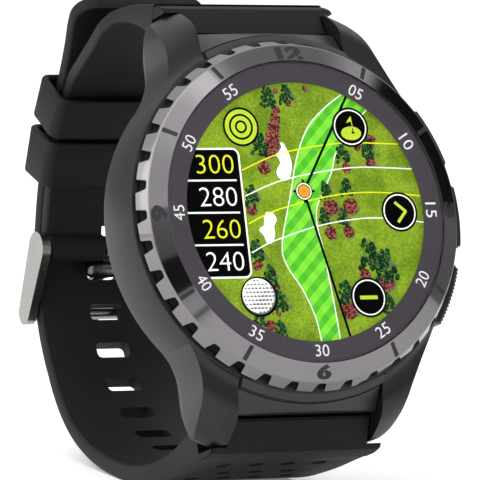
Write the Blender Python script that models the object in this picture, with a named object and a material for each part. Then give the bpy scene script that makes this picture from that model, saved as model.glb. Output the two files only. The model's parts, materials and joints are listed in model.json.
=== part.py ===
"""Golf GPS watch, buckled: round metal case with four lugs, notched bezel, colour display,
three side pushers, two-part silicone strap with pin buckle and two keepers.

All sizes are millimetres in the watch's own axes: x to 3 o'clock, y to 12 o'clock and z out of
the face, with z = 0 on the printed minute ring.  The whole watch then leans back on its strap.
"""
import math

import bmesh
import bpy
from mathutils import Matrix, Vector

MM = 0.001
LEAN = math.radians(18.0)          # the face leans back by this much from upright

# Display window and bezel
DISPLAY_R = 17.75
RING_INNER_R = 17.95
RING_OUTER_R = 20.5
LENS_R = 20.55
BEZEL_BORE_R = 20.85
BEZEL_FACE_R = 23.45               # where the face turns down into the notched skirt
BEZEL_R = 24.4
BEZEL_TOP_Z = 0.3
BEZEL_EDGE_Z = -0.8
BEZEL_SKIRT_Z = -2.8
NOTCHES = 36
NOTCH_WIDTH = 1.36
NOTCH_DEPTH = 0.7

# Case
CASE_R = 24.7
CASE_TOP_Z = -3.3
CASE_BOTTOM_Z = -14.2
CASE_CHAMFER_Z = -12.2              # lower edge of the flank; below it the case draws in
CASE_FOOT_SCALE = 0.952
CASE_BORE_R = 20.1
NECK_R = 22.6
NECK_TOP_Z = -2.6
LEDGE_R = 18.8                     # inner edge of the ledge that the back closes on
LEDGE_TOP_Z = -12.0
LEDGE_Z = -13.0
BACK_SEAT_R = 23.1
LUG_OUTER_X = 16.0
LUG_FILLET_R = 10.0
LUG_GAP = 22.0                     # strap width between the lugs
LUG_TIP_Y = 30.0
COVER_FLOOR_Z = -9.2
COVER_POCKET_R = 22.9

# Spring bars
LUG_BAR_Y = 27.7
LUG_BAR_Z = -12.1
BAR_R = 0.9
TIP_R = 0.45
TIP_HOLE_R = 0.6

# Strap
STRAP_HALF_WIDE = 12.75
SHOULDER_FLARE = 0.55               # extra half width where a strap meets its lugs
SHOULDER_LENGTH = 8.0
STRAP_HALF_NARROW = 10.5
TAPER_START = 18.0                 # along the strap from its lug
SLOT_LENGTH = 5.3
SLOT_WIDTH = 2.4
SLOT_PITCH = 6.2

# Buckle, as (y, z)
BUCKLE_BAR = (8.45, -61.7)
BUCKLE_END = (0.15, -68.9)
TONGUE_ROOT = (5.5, -63.1)          # wide root of the tongue, just past the strap's end
BUCKLE_EYE_R = 2.45
BUCKLE_END_R = 1.0
BUCKLE_INNER_X = 10.8
BUCKLE_OUTER_X = 12.1

# Pushers
BUTTON_ANGLES = {"upper": 26.0, "centre": 0.0, "lower": -26.0}
BUTTON_R = 26.15
BUTTON_HALF_LENGTH = 4.7
BUTTON_Z = (-8.7, -4.3)
BUTTON_STEM_Z = -6.6
POCKET_FLOOR = 22.3

SCREW_R = 21.5
TURN = 72                          # facets of a large turned piece
SMALL_TURN = 20


# ---------------------------------------------------------------- materials
def material(name, colour, roughness, metallic=0.0):
    mat = bpy.data.materials.new(name)
    mat.use_nodes = True
    shader = mat.node_tree.nodes["Principled BSDF"]
    shader.inputs["Base Color"].default_value = (*colour, 1.0)
    shader.inputs["Roughness"].default_value = roughness
    shader.inputs["Metallic"].default_value = metallic
    mat.diffuse_color = (*colour, 1.0)
    return mat


def make_materials():
    return {
        "gunmetal": material("gunmetal", (0.10, 0.10, 0.11), 0.38, 0.9),
        "bezel": material("bezel_gloss", (0.22, 0.21, 0.22), 0.12, 0.9),
        "cover": material("satin_black", (0.07, 0.07, 0.075), 0.45),
        "glass": material("glass", (0.75, 0.80, 0.82), 0.03),
        "ring": material("ring_print", (0.065, 0.06, 0.068), 0.35),
        "screen": material("screen", (0.20, 0.36, 0.06), 0.25),
        "seal": material("seal_rubber", (0.02, 0.02, 0.02), 0.7),
        "frame": material("inner_plastic", (0.05, 0.05, 0.055), 0.5),
        "board": material("circuit_board", (0.02, 0.12, 0.06), 0.45),
        "tin": material("tinned_steel", (0.62, 0.62, 0.60), 0.3, 1.0),
        "ceramic": material("antenna_ceramic", (0.62, 0.55, 0.42), 0.6),
        "cell": material("battery_foil", (0.45, 0.46, 0.48), 0.35, 0.6),
        "tungsten": material("tungsten", (0.32, 0.32, 0.33), 0.4, 1.0),
        "steel": material("bright_steel", (0.60, 0.58, 0.55), 0.3, 1.0),
        "gold": material("gold_plate", (0.83, 0.62, 0.25), 0.25, 1.0),
        "button": material("button_black", (0.02, 0.02, 0.022), 0.5),
        "strap": material("silicone", (0.018, 0.017, 0.021), 0.6),
    }


# ---------------------------------------------------------------- mesh helpers
def add_object(name, bm, mat, origin=(0.0, 0.0, 0.0), sharp=35.0):
    """Turns a bmesh in millimetres into an object in metres with its origin at `origin`."""
    bmesh.ops.recalc_face_normals(bm, faces=bm.faces)
    bmesh.ops.translate(bm, vec=-Vector(origin), verts=bm.verts)
    bmesh.ops.scale(bm, vec=(MM, MM, MM), verts=bm.verts)
    mesh = bpy.data.meshes.new(name)
    bm.to_mesh(mesh)
    bm.free()
    mesh.shade_smooth()
    mesh.set_sharp_from_angle(angle=math.radians(sharp))
    if mat is not None:
        mesh.materials.append(mat)
    obj = bpy.data.objects.new(name, mesh)
    obj.location = Vector(origin) * MM
    bpy.context.scene.collection.objects.link(obj)
    obj.parent = bpy.data.objects["watch"]
    return obj


def add_lathe(bm, profile, segments, start=0.0, matrix=None):
    """Adds a solid of revolution about z to bm; the profile is a closed list of (r, z)."""
    rings = []
    for r, z in profile:
        if r == 0.0:
            rings.append([bm.verts.new((0.0, 0.0, z))])
            continue
        ring = []
        for i in range(segments):
            angle = start + 2.0 * math.pi * i / segments
            ring.append(bm.verts.new((r * math.cos(angle), r * math.sin(angle), z)))
        rings.append(ring)
    for ring, following in zip(rings, rings[1:] + rings[:1]):
        for i in range(segments):
            j = (i + 1) % segments
            if len(ring) == 1 and len(following) == 1:
                break
            if len(ring) == 1:
                bm.faces.new((ring[0], following[j], following[i]))
            elif len(following) == 1:
                bm.faces.new((ring[i], ring[j], following[0]))
            else:
                bm.faces.new((ring[i], ring[j], following[j], following[i]))
    if matrix is not None:
        new = [v for ring in rings for v in ring]
        bmesh.ops.transform(bm, matrix=matrix, verts=new)


def add_sections(bm, sections):
    """Adds a closed solid through sections that all have the same number of points."""
    rings = [[bm.verts.new(p) for p in section] for section in sections]
    count = len(rings[0])
    for ring, following in zip(rings, rings[1:]):
        for i in range(count):
            j = (i + 1) % count
            bm.faces.new((ring[i], ring[j], following[j], following[i]))
    bm.faces.new(rings[0])
    bm.faces.new(list(reversed(rings[-1])))


def add_block(bm, low, high, matrix=None):
    """Adds a plain box between two corners."""
    (x0, y0, z0), (x1, y1, z1) = low, high
    bottom = [(x0, y0, z0), (x1, y0, z0), (x1, y1, z0), (x0, y1, z0)]
    top = [(x, y, z1) for x, y, z in bottom]
    before = set(bm.verts)
    add_sections(bm, [bottom, top])
    if matrix is not None:
        new = [v for v in bm.verts if v not in before]
        bmesh.ops.transform(bm, matrix=matrix, verts=new)


def add_prism_x(bm, outline, x0, x1):
    """Adds a prism along x with an outline of (y, z) points."""
    add_sections(bm, [[(x, y, z) for y, z in outline] for x in (x0, x1)])


def lathe(name, profile, mat, segments=TURN, matrix=None, origin=(0.0, 0.0, 0.0)):
    bm = bmesh.new()
    add_lathe(bm, profile, segments, matrix=matrix)
    return add_object(name, bm, mat, origin)


def block(name, low, high, mat, bevel=0.0):
    bm = bmesh.new()
    add_block(bm, low, high)
    if bevel:
        bmesh.ops.bevel(bm, geom=bm.edges[:], offset=bevel, segments=1, affect="EDGES")
    return add_object(name, bm, mat)


def modify(obj, cutter, operation="DIFFERENCE"):
    """Adds an exact Boolean and hides its cutter."""
    boolean = obj.modifiers.new(cutter.name, "BOOLEAN")
    boolean.operation = operation
    boolean.solver = "EXACT"
    boolean.object = cutter
    cutter.hide_render = True
    cutter.display_type = "WIRE"


def guide(name, bm):
    """A cutter made from bm."""
    return add_object(name, bm, None)


def ring_profile(inner, outer, z0, z1):
    return [(inner, z0), (outer, z0), (outer, z1), (inner, z1)]


def disc_profile(r, z0, z1):
    return [(0.0, z0), (r, z0), (r, z1), (0.0, z1)]


def arc(centre, radius, start, end, steps):
    """Points on an arc in degrees, ends included."""
    points = []
    for i in range(steps + 1):
        angle = math.radians(start + (end - start) * i / steps)
        points.append((centre[0] + radius * math.cos(angle), centre[1] + radius * math.sin(angle)))
    return points


def along_x(y, z):
    """Places a piece turned about z so that its axis runs along x at (y, z)."""
    return Matrix.Translation((0.0, y, z)) @ Matrix.Rotation(math.radians(90.0), 4, "Y")


def radial(angle, z):
    """Places a piece turned about z so that its axis runs outward at a clock angle and height."""
    turn = Matrix.Rotation(math.radians(angle), 4, "Z")
    return turn @ Matrix.Translation((0.0, 0.0, z)) @ Matrix.Rotation(math.radians(90.0), 4, "Y")


def about_z(angle):
    return Matrix.Rotation(math.radians(angle), 4, "Z")


# ---------------------------------------------------------------- case
def case_outline():
    """Plan of the case: round body, concave fillets and four lugs, anticlockwise."""
    fillet_x = LUG_OUTER_X + LUG_FILLET_R
    fillet_y = math.sqrt((CASE_R + LUG_FILLET_R) ** 2 - fillet_x ** 2)
    meet = math.degrees(math.atan2(fillet_y, fillet_x))
    body = arc((0.0, 0.0), CASE_R, 0.0, meet, 14)
    fillet = arc((fillet_x, fillet_y), LUG_FILLET_R, 180.0 + meet, 180.0, 8)
    tip = [(15.9, 26.4), (15.5, 28.0), (14.7, 29.2), (13.2, 29.9), (11.6, LUG_TIP_Y)]
    quarter = body + fillet[1:] + tip
    half = quarter + [(-x, y) for x, y in reversed(quarter)]
    return half + [(-x, -y) for x, y in half[1:-1]]


def lug_gap_cutter():
    """Space between each pair of lugs, with the step that the end covers sit on."""
    bm = bmesh.new()
    half = LUG_GAP / 2.0
    for side in (1.0, -1.0):
        sections = []
        for i in range(13):
            x = -half + LUG_GAP * i / 12
            upper = math.sqrt(COVER_POCKET_R ** 2 - x * x)
            lower = math.sqrt(CASE_R ** 2 - x * x)
            section = [(upper, 1.0), (33.0, 1.0), (33.0, -20.0), (lower, -20.0)]
            section += [(lower, COVER_FLOOR_Z), (upper, COVER_FLOOR_Z)]
            sections.append([(x, side * y, z) for y, z in section])
        add_sections(bm, sections)
    bmesh.ops.recalc_face_normals(bm, faces=bm.faces)
    return guide("cut_lug_gaps", bm)


def make_case(mats):
    bm = bmesh.new()
    outline = case_outline()
    levels = ((0.0, 1.0), (CASE_CHAMFER_Z, 1.0), (CASE_BOTTOM_Z, CASE_FOOT_SCALE), (-20.0, CASE_FOOT_SCALE))
    add_sections(bm, [[(x * scale, y * scale, z) for x, y in outline] for z, scale in levels])
    case = add_object("mid_case", bm, mats["gunmetal"])

    turned = [(0.0, NECK_TOP_Z), (NECK_R, NECK_TOP_Z), (NECK_R, CASE_TOP_Z), (24.4, CASE_TOP_Z)]
    turned += [(24.75, -3.9), (25.4, -4.45), (26.6, -4.8), (28.1, -5.15), (29.3, -5.75), (30.4, -6.95)]
    turned += [(31.5, -8.75), (32.2, -10.3), (32.5, -12.1), (31.2, CASE_BOTTOM_Z), (0.0, CASE_BOTTOM_Z)]
    bm = bmesh.new()
    add_lathe(bm, turned, TURN)
    modify(case, guide("shape_case_turned", bm), "INTERSECT")

    bore = [(0.0, 1.0), (CASE_BORE_R, 1.0), (CASE_BORE_R, LEDGE_TOP_Z), (LEDGE_R, LEDGE_TOP_Z)]
    bore += [(LEDGE_R, LEDGE_Z), (BACK_SEAT_R, LEDGE_Z), (BACK_SEAT_R, -16.0), (0.0, -16.0)]
    bm = bmesh.new()
    add_lathe(bm, bore, TURN)
    modify(case, guide("cut_case_bore", bm))
    modify(case, lug_gap_cutter())

    pockets = bmesh.new()
    bores = bmesh.new()
    low = (POCKET_FLOOR, -BUTTON_HALF_LENGTH - 0.3, BUTTON_Z[0] - 0.3)
    high = (30.0, BUTTON_HALF_LENGTH + 0.3, BUTTON_Z[1] + 0.3)
    steps = [(0.0, 19.0), (1.85, 19.0), (1.85, 21.3), (0.95, 21.3), (0.95, 23.0), (0.0, 23.0)]
    for angle in BUTTON_ANGLES.values():
        add_block(pockets, low, high, about_z(angle))
        add_lathe(bores, steps, SMALL_TURN, matrix=radial(angle, BUTTON_STEM_Z))
    for i in range(4):
        spot = about_z(45.0 + 90.0 * i) @ Matrix.Translation((SCREW_R, 0.0, 0.0))
        add_lathe(bores, disc_profile(0.62, -13.5, -11.0), 12, matrix=spot)
    for side in (1.0, -1.0):
        for end in (1.0, -1.0):
            hole = disc_profile(TIP_HOLE_R, end * 10.0, end * 13.4)
            add_lathe(bores, hole, 12, matrix=along_x(side * LUG_BAR_Y, LUG_BAR_Z))
    bmesh.ops.recalc_face_normals(bores, faces=bores.faces)
    modify(case, guide("cut_button_pockets", pockets))
    modify(case, guide("cut_case_holes", bores))
    return case


def make_end_covers(mats):
    """Filler between each pair of lugs: a rim around the bezel, a step and a sloping face."""
    half = LUG_GAP / 2.0 - 0.2
    for name, side in (("end_cover_12", 1.0), ("end_cover_6", -1.0)):
        sections = []
        for i in range(17):
            x = -half + 2.0 * half * i / 16
            inner = math.sqrt((COVER_POCKET_R + 0.25) ** 2 - x * x)
            rim = math.sqrt(CASE_R ** 2 - x * x)
            step = math.sqrt(25.5 ** 2 - x * x)
            edge_z = -6.3 - 0.9 * (x / half) ** 2
            face_z = -4.5 - 0.3 * (x / half) ** 2
            section = [(inner, CASE_TOP_Z), (rim, CASE_TOP_Z), (step, -3.9), (step + 0.15, face_z)]
            section += [(26.4, edge_z), (26.4, -8.4), (25.6, COVER_FLOOR_Z + 0.25)]
            section += [(inner, COVER_FLOOR_Z + 0.25)]
            sections.append([(x, side * y, z) for y, z in section])
        bm = bmesh.new()
        add_sections(bm, sections)
        add_object(name, bm, mats["cover"])


def make_bezel(mats):
    profile = [(BEZEL_BORE_R, BEZEL_TOP_Z - 0.15), (BEZEL_BORE_R + 0.15, BEZEL_TOP_Z)]
    profile += [(BEZEL_FACE_R - 0.1, BEZEL_EDGE_Z + 0.05), (BEZEL_FACE_R + 0.05, BEZEL_EDGE_Z - 0.1)]
    profile += [(BEZEL_R, BEZEL_SKIRT_Z), (22.95, BEZEL_SKIRT_Z), (22.95, -2.0), (BEZEL_BORE_R, -2.0)]
    bezel = lathe("bezel", profile, mats["bezel"], segments=108)

    slope = math.atan2(BEZEL_R - BEZEL_FACE_R, BEZEL_EDGE_Z - BEZEL_SKIRT_Z)
    half = NOTCH_WIDTH / 2.0
    top_z = BEZEL_EDGE_Z - 0.45
    arch = [(half * math.cos(a), top_z - half + half * math.sin(a))
            for a in (math.radians(180.0 * i / 6) for i in range(7))]
    outline = arch + [(-half, -5.0), (half, -5.0)]
    face = BEZEL_FACE_R - NOTCH_DEPTH
    bm = bmesh.new()
    for i in range(NOTCHES):
        lean = Matrix.Translation((BEZEL_FACE_R, 0.0, BEZEL_EDGE_Z)) @ Matrix.Rotation(-slope, 4, "Y")
        lean = lean @ Matrix.Translation((-BEZEL_FACE_R, 0.0, -BEZEL_EDGE_Z))
        before = set(bm.verts)
        add_sections(bm, [[(x, y, z) for y, z in outline] for x in (face, BEZEL_R + 2.0)])
        new = [v for v in bm.verts if v not in before]
        bmesh.ops.transform(bm, matrix=about_z(360.0 * i / NOTCHES) @ lean, verts=new)
    modify(bezel, guide("cut_bezel_notches", bm))
    lathe("front_gasket", ring_profile(20.9, 22.2, -2.55, -2.05), mats["seal"])


def make_face(mats):
    lathe("lens", disc_profile(LENS_R, -0.65, 0.15), mats["glass"])
    lathe("chapter_ring", ring_profile(RING_INNER_R, RING_OUTER_R, -1.15, -0.75), mats["ring"])
    lathe("display_panel", disc_profile(DISPLAY_R, -1.75, -0.75), mats["screen"])


# ---------------------------------------------------------------- inside the case
def make_inner_parts(mats):
    frame = [(0.0, -2.45), (17.9, -2.45), (17.9, -5.0), (19.6, -5.0), (19.6, -1.25)]
    frame += [(18.0, -1.25), (18.0, -1.85), (0.0, -1.85)]
    lathe("inner_frame", frame, mats["frame"], segments=64)
    lathe("main_board", disc_profile(18.4, -6.0, -5.2), mats["board"], segments=64)
    block("gnss_antenna", (4.5, -5.5, -5.1), (15.5, 5.5, -3.1), mats["ceramic"], 0.2)
    block("shield_can", (-10.0, -4.0, -7.5), (6.0, 9.0, -6.1), mats["tin"], 0.2)
    block("battery", (-13.5, -9.0, -12.2), (13.5, 12.0, -7.8), mats["cell"], 0.7)

    motor = [(0.0, -6.0), (2.1, -6.0), (2.1, 2.0), (0.8, 2.0), (0.8, 2.4)]
    motor += [(0.35, 2.4), (0.35, 6.2), (0.0, 6.2)]
    lathe("vibration_motor", motor, mats["tin"], SMALL_TURN, along_x(-13.4, -9.9))
    outline = arc((0.0, 0.0), 1.9, -90.0, 90.0, 12)
    outline += arc((0.0, 0.0), 0.8, 90.0, 270.0, 6)[1:-1]
    bm = bmesh.new()
    add_sections(bm, [[(y, -x, z) for x, y in outline] for z in (2.9, 5.9)])
    bmesh.ops.transform(bm, matrix=along_x(-13.4, -9.9), verts=bm.verts)
    weight = add_object("vibration_weight", bm, mats["tungsten"], (4.4, -13.4, -9.9))
    bm = bmesh.new()
    add_lathe(bm, disc_profile(0.42, 2.0, 7.0), 12, matrix=along_x(-13.4, -9.9))
    modify(weight, guide("cut_weight_bore", bm))


def make_button(name, angle, mats):
    """Arc-shaped pusher cap and stem, with its spring, clip, O-ring and switch."""
    ends = math.degrees(math.asin(BUTTON_HALF_LENGTH / BUTTON_R))
    inner_ends = math.degrees(math.asin(BUTTON_HALF_LENGTH / 23.8))
    outline = arc((0.0, 0.0), BUTTON_R, -ends, ends, 10)
    outline += arc((0.0, 0.0), 23.8, inner_ends, -inner_ends, 6)
    low, high = BUTTON_Z
    bm = bmesh.new()
    inset = 0.35
    rings = []
    for z, pull in ((low, inset), (low + inset, 0.0), (high - inset, 0.0), (high, inset)):
        rings.append([(x - pull if x > 24.6 else x, y, z) for x, y in outline])
    add_sections(bm, rings)
    bmesh.ops.transform(bm, matrix=about_z(angle), verts=bm.verts)
    cap = add_object("button_" + name, bm, mats["button"])

    well = bmesh.new()
    add_lathe(well, disc_profile(1.95, 23.0, 24.6), SMALL_TURN, matrix=radial(angle, BUTTON_STEM_Z))
    modify(cap, guide("cut_well_" + name, well))
    stem = bmesh.new()
    shaft = [(0.0, 19.35), (0.8, 19.35), (0.8, 19.55), (0.55, 19.55), (0.55, 19.9), (0.8, 19.9)]
    add_lathe(stem, shaft + [(0.8, 25.0), (0.0, 25.0)], SMALL_TURN, matrix=radial(angle, BUTTON_STEM_Z))
    modify(cap, guide("add_stem_" + name, stem), "UNION")

    bm = bmesh.new()
    clip = arc((0.0, 0.0), 1.45, 40.0, 320.0, 12) + arc((0.0, 0.0), 0.66, 320.0, 40.0, 10)
    add_sections(bm, [[(x, y, z) for x, y in clip] for z in (19.62, 19.83)])
    bmesh.ops.transform(bm, matrix=radial(angle, BUTTON_STEM_Z), verts=bm.verts)
    add_object("button_clip_" + name, bm, mats["steel"])

    seal = arc((1.34, 20.7), 0.42, 0.0, 330.0, 11)
    lathe("button_seal_" + name, seal, mats["seal"], SMALL_TURN, radial(angle, BUTTON_STEM_Z))
    make_spring("button_spring_" + name, 1.5, 0.13, 22.5, 24.0, 3.0, radial(angle, BUTTON_STEM_Z), mats["steel"])

    bm = bmesh.new()
    add_block(bm, (16.4, -1.9, -7.75), (18.25, 1.9, -6.1), about_z(angle))
    switch = add_object("switch_" + name, bm, mats["tin"])
    bm = bmesh.new()
    add_lathe(bm, disc_profile(0.45, 17.5, 18.7), 12, matrix=radial(angle, BUTTON_STEM_Z))
    modify(switch, guide("add_plunger_" + name, bm), "UNION")


def make_spring(name, radius, wire, start, end, turns, matrix, mat):
    """A short coil as a curve with a round bevel."""
    curve = bpy.data.curves.new(name, "CURVE")
    curve.dimensions = "3D"
    curve.bevel_depth = wire * MM
    curve.bevel_resolution = 1
    curve.use_fill_caps = True
    spline = curve.splines.new("POLY")
    steps = int(12 * turns)
    spline.points.add(steps)
    for i in range(steps + 1):
        angle = 2.0 * math.pi * turns * i / steps
        z = start + wire + (end - start - 2.0 * wire) * i / steps
        point = matrix @ Vector((radius * math.cos(angle), radius * math.sin(angle), z))
        spline.points[i].co = (*(point * MM), 1.0)
    curve.materials.append(mat)
    obj = bpy.data.objects.new(name, curve)
    bpy.context.scene.collection.objects.link(obj)
    obj.parent = bpy.data.objects["watch"]


# ---------------------------------------------------------------- case back
def make_back(mats):
    plate = [(0.0, -13.9), (18.3, -13.9), (18.3, -13.3), (19.25, -13.3), (19.25, -13.95)]
    plate += [(20.15, -13.95), (20.15, -13.3), (22.8, -13.3), (22.8, -14.3), (20.2, -14.45)]
    plate += [(17.5, -15.2), (0.0, -15.2)]
    back = lathe("case_back", plate, mats["steel"])
    bm = bmesh.new()
    for i in range(4):
        spot = about_z(45.0 + 90.0 * i) @ Matrix.Translation((SCREW_R, 0.0, 0.0))
        hole = [(0.0, -13.0), (0.68, -13.0), (0.68, -13.7), (1.2, -13.7), (1.2, -15.5), (0.0, -15.5)]
        add_lathe(bm, hole, 12, matrix=spot)
        pad = Matrix.Translation((contact_x(i), -9.5, 0.0))
        add_lathe(bm, disc_profile(1.0, -13.0, -16.0), 12, matrix=pad)
    bmesh.ops.recalc_face_normals(bm, faces=bm.faces)
    modify(back, guide("cut_back_holes", bm))

    lathe("back_gasket", arc((19.7, -13.5), 0.4, 0.0, 315.0, 7), mats["seal"], segments=64)
    screw = [(0.0, -11.5), (0.5, -11.5), (0.5, -13.75), (1.05, -13.75), (1.05, -14.35)]
    screw += [(0.3, -14.35), (0.3, -14.1), (0.0, -14.1)]
    contact = [(0.0, -13.0), (1.4, -13.0), (1.4, -13.6), (0.85, -13.6), (0.85, -15.15), (0.0, -15.15)]
    for i in range(4):
        angle = 45.0 + 90.0 * i
        spot = about_z(angle) @ Matrix.Translation((SCREW_R, 0.0, 0.0))
        lathe("back_screw_%d" % (i + 1), screw, mats["steel"], 12, spot)
        pad = Matrix.Translation((contact_x(i), -9.5, 0.0))
        lathe("charge_contact_%d" % (i + 1), contact, mats["gold"], 12, pad)


def contact_x(i):
    return 3.2 * (i - 1.5)


# ---------------------------------------------------------------- spring bars
def make_spring_bar(name, y, z, tube_end, tip_end, mats):
    tube = ring_profile(0.6, BAR_R, -tube_end, tube_end)
    lathe(name, tube, mats["steel"], SMALL_TURN, along_x(y, z))
    collar = tip_end - 2.4
    for label, side in (("left", -1.0), ("right", 1.0)):
        tip = [(0.0, side * (collar - 3.2)), (TIP_R, side * (collar - 3.2)), (TIP_R, side * collar)]
        tip += [(0.8, side * collar), (0.8, side * (collar + 0.35)), (TIP_R, side * (collar + 0.35))]
        tip += [(TIP_R, side * tip_end), (0.0, side * tip_end)]
        bm = bmesh.new()
        add_lathe(bm, tip, 12, matrix=along_x(y, z))
        add_object(name + "_tip_" + label, bm, mats["steel"])


# ---------------------------------------------------------------- strap
# Middle of each strap from its lug to its end, as (y, z, thickness).
LONG_STRAP = [
    (-28.9, -14.5, 4.9), (-29.3, -18.2, 4.3), (-29.9, -22.6, 3.4), (-30.1, -27.2, 2.8),
    (-29.9, -32.2, 2.6), (-29.1, -37.3, 2.5), (-27.6, -42.4, 2.4), (-25.3, -48.2, 2.3),
    (-22.6, -53.3, 2.2), (-19.4, -57.7, 2.1), (-15.8, -61.0, 2.1), (-12.0, -63.4, 2.1),
    (-8.7, -64.9, 2.1), (-5.0, -65.95, 2.1), (-2.0, -66.45, 2.1), (1.2, -66.65, 2.1),
    (5.2, -66.2, 2.1), (9.65, -65.05, 2.1), (11.7, -64.2, 2.1), (18.15, -61.25, 2.1),
    (25.4, -56.45, 2.1), (30.95, -51.15, 2.1), (34.8, -48.0, 2.1), (37.7, -46.1, 2.1),
    (39.2, -44.6, 2.1), (40.3, -42.4, 2.1),
]
SHORT_STRAP = [
    (30.2, -14.5, 4.9), (31.9, -18.2, 3.3), (33.25, -22.3, 2.45), (33.85, -25.4, 2.05),
    (34.1, -28.0, 1.95), (33.8, -31.0, 2.05), (33.3, -33.4, 2.05), (32.3, -37.7, 2.1),
    (31.3, -42.6, 2.1), (29.55, -48.7, 2.1),
    (24.0, -54.5, 2.1), (16.95, -59.15, 2.1), (11.6, -61.65, 2.1), (8.9, -62.3, 1.9),
]
# Moulded blocks that fill the lug gaps around the spring bars, as (|y|, z).
LUG_BLOCK_6 = [
    (26.9, -8.8), (29.0, -9.75), (31.0, -10.8), (31.35, -12.5), (31.4, -15.2),
    (28.9, -16.4), (26.5, -15.3), (25.9, -13.6), (25.9, -11.6), (26.3, -9.6),
]
LUG_BLOCK_12 = [
    (26.9, -8.8), (29.0, -9.75), (31.0, -10.8), (31.9, -12.7), (32.5, -15.0),
    (28.9, -16.4), (26.5, -15.3), (25.9, -13.6), (25.9, -11.6), (26.3, -9.6),
]


def spline_points(points, steps):
    """Catmull-Rom points through a list of tuples of numbers."""
    out = []
    padded = [points[0]] + points + [points[-1]]
    for a, b, c, d in zip(padded, padded[1:], padded[2:], padded[3:]):
        for i in range(steps):
            t = i / steps
            out.append(tuple(
                0.5 * (2.0 * q + (r - p) * t + (2.0 * p - 5.0 * q + 4.0 * r - s) * t * t
                       + (3.0 * q - p - 3.0 * r + s) * t ** 3)
                for p, q, r, s in zip(a, b, c, d)))
    out.append(points[-1])
    return out


def strap_path(points, steps=3):
    """Stations along a strap: (centre y, centre z, outward normal, thickness, arc length)."""
    line = spline_points(points, steps)
    stations = []
    travelled = 0.0
    for i, (y, z, thick) in enumerate(line):
        before = Vector(line[max(i - 1, 0)][:2])
        after = Vector(line[min(i + 1, len(line) - 1)][:2])
        along = (after - before).normalized()
        if i:
            travelled += (Vector((y, z)) - before).length
        stations.append((y, z, Vector((along.y, -along.x)), thick, travelled))
    return stations


def strap_half_width(travelled, taper_length):
    share = min(max((travelled - TAPER_START) / taper_length, 0.0), 1.0)
    flare = SHOULDER_FLARE * max(0.0, 1.0 - travelled / SHOULDER_LENGTH)
    return STRAP_HALF_WIDE + flare + (STRAP_HALF_NARROW - STRAP_HALF_WIDE) * share


def add_strap_band(bm, stations, outward, taper_length, tip_radius=0.0):
    """Sweeps a rectangle with eased edges along the stations."""
    ease = 0.3
    end = stations[-1][4]
    sections = []
    for y, z, normal, thick, travelled in stations:
        half = strap_half_width(travelled, taper_length)
        left = end - travelled
        if left < tip_radius:
            half -= tip_radius - math.sqrt(tip_radius ** 2 - (tip_radius - left) ** 2)
        depth = thick / 2.0
        section = []
        for x, d in ((half - ease, -depth), (half, ease - depth), (half, depth - ease), (half - ease, depth)):
            section.append((x, y + outward * normal.x * d, z + outward * normal.y * d))
        section += [(-x, py, pz) for x, py, pz in reversed(section)]
        sections.append(section)
    add_sections(bm, sections)


def finish_strap(strap, side):
    """Adds the lug block, the clearance around the lug tips and the spring bar's bore."""
    label = "12" if side > 0 else "6"
    bm = bmesh.new()
    block = LUG_BLOCK_12 if side > 0 else LUG_BLOCK_6
    reach = STRAP_HALF_WIDE + SHOULDER_FLARE - 0.05
    add_prism_x(bm, [(side * y, z) for y, z in block], -reach, reach)
    modify(strap, guide("add_lug_block_" + label, bm), "UNION")
    bm = bmesh.new()
    for end in (1.0, -1.0):
        x0, x1 = sorted((end * (LUG_GAP / 2.0 - 0.3), end * 20.0))
        y0, y1 = sorted((side * 20.0, side * (LUG_TIP_Y + 0.35)))
        add_block(bm, (x0, y0, CASE_BOTTOM_Z - 0.4), (x1, y1, 0.0))
    modify(strap, guide("cut_lug_clearance_" + label, bm))
    bm = bmesh.new()
    add_lathe(bm, disc_profile(BAR_R + 0.12, -20.0, 20.0), SMALL_TURN,
              matrix=along_x(side * LUG_BAR_Y, LUG_BAR_Z))
    modify(strap, guide("cut_bar_bore_" + label, bm))


def station_at(stations, distance):
    return min(stations, key=lambda s: abs(s[4] - distance))


def make_long_strap(mats):
    stations = strap_path(LONG_STRAP)
    bm = bmesh.new()
    add_strap_band(bm, stations, 1.0, 40.0, tip_radius=3.0)
    strap = add_object("strap_6_long", bm, mats["strap"])
    finish_strap(strap, -1.0)
    tongue = min(stations, key=lambda s: abs(s[0] - 5.6) if s[1] < -60.0 else 99.0)[4]
    fine = strap_path(LONG_STRAP, 24)
    bm = bmesh.new()
    for i in range(-6, 5):
        y, z, normal, thick, _ = station_at(fine, tongue + i * SLOT_PITCH)
        turn = Matrix.Rotation(math.atan2(normal.y, normal.x), 4, "X")
        spot = Matrix.Translation((0.0, y, z)) @ turn
        slot = arc((SLOT_LENGTH / 2.0 - 0.6, SLOT_WIDTH / 2.0 - 0.6), 0.6, 0.0, 90.0, 2)
        slot += [(-x, w) for x, w in reversed(slot)]
        slot += [(-x, -w) for x, w in slot]
        before = set(bm.verts)
        add_sections(bm, [[(x, d, w) for x, w in slot] for d in (-3.0, 3.0)])
        bmesh.ops.transform(bm, matrix=spot, verts=[v for v in bm.verts if v not in before])
    bmesh.ops.recalc_face_normals(bm, faces=bm.faces)
    modify(strap, guide("cut_slots", bm))


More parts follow.
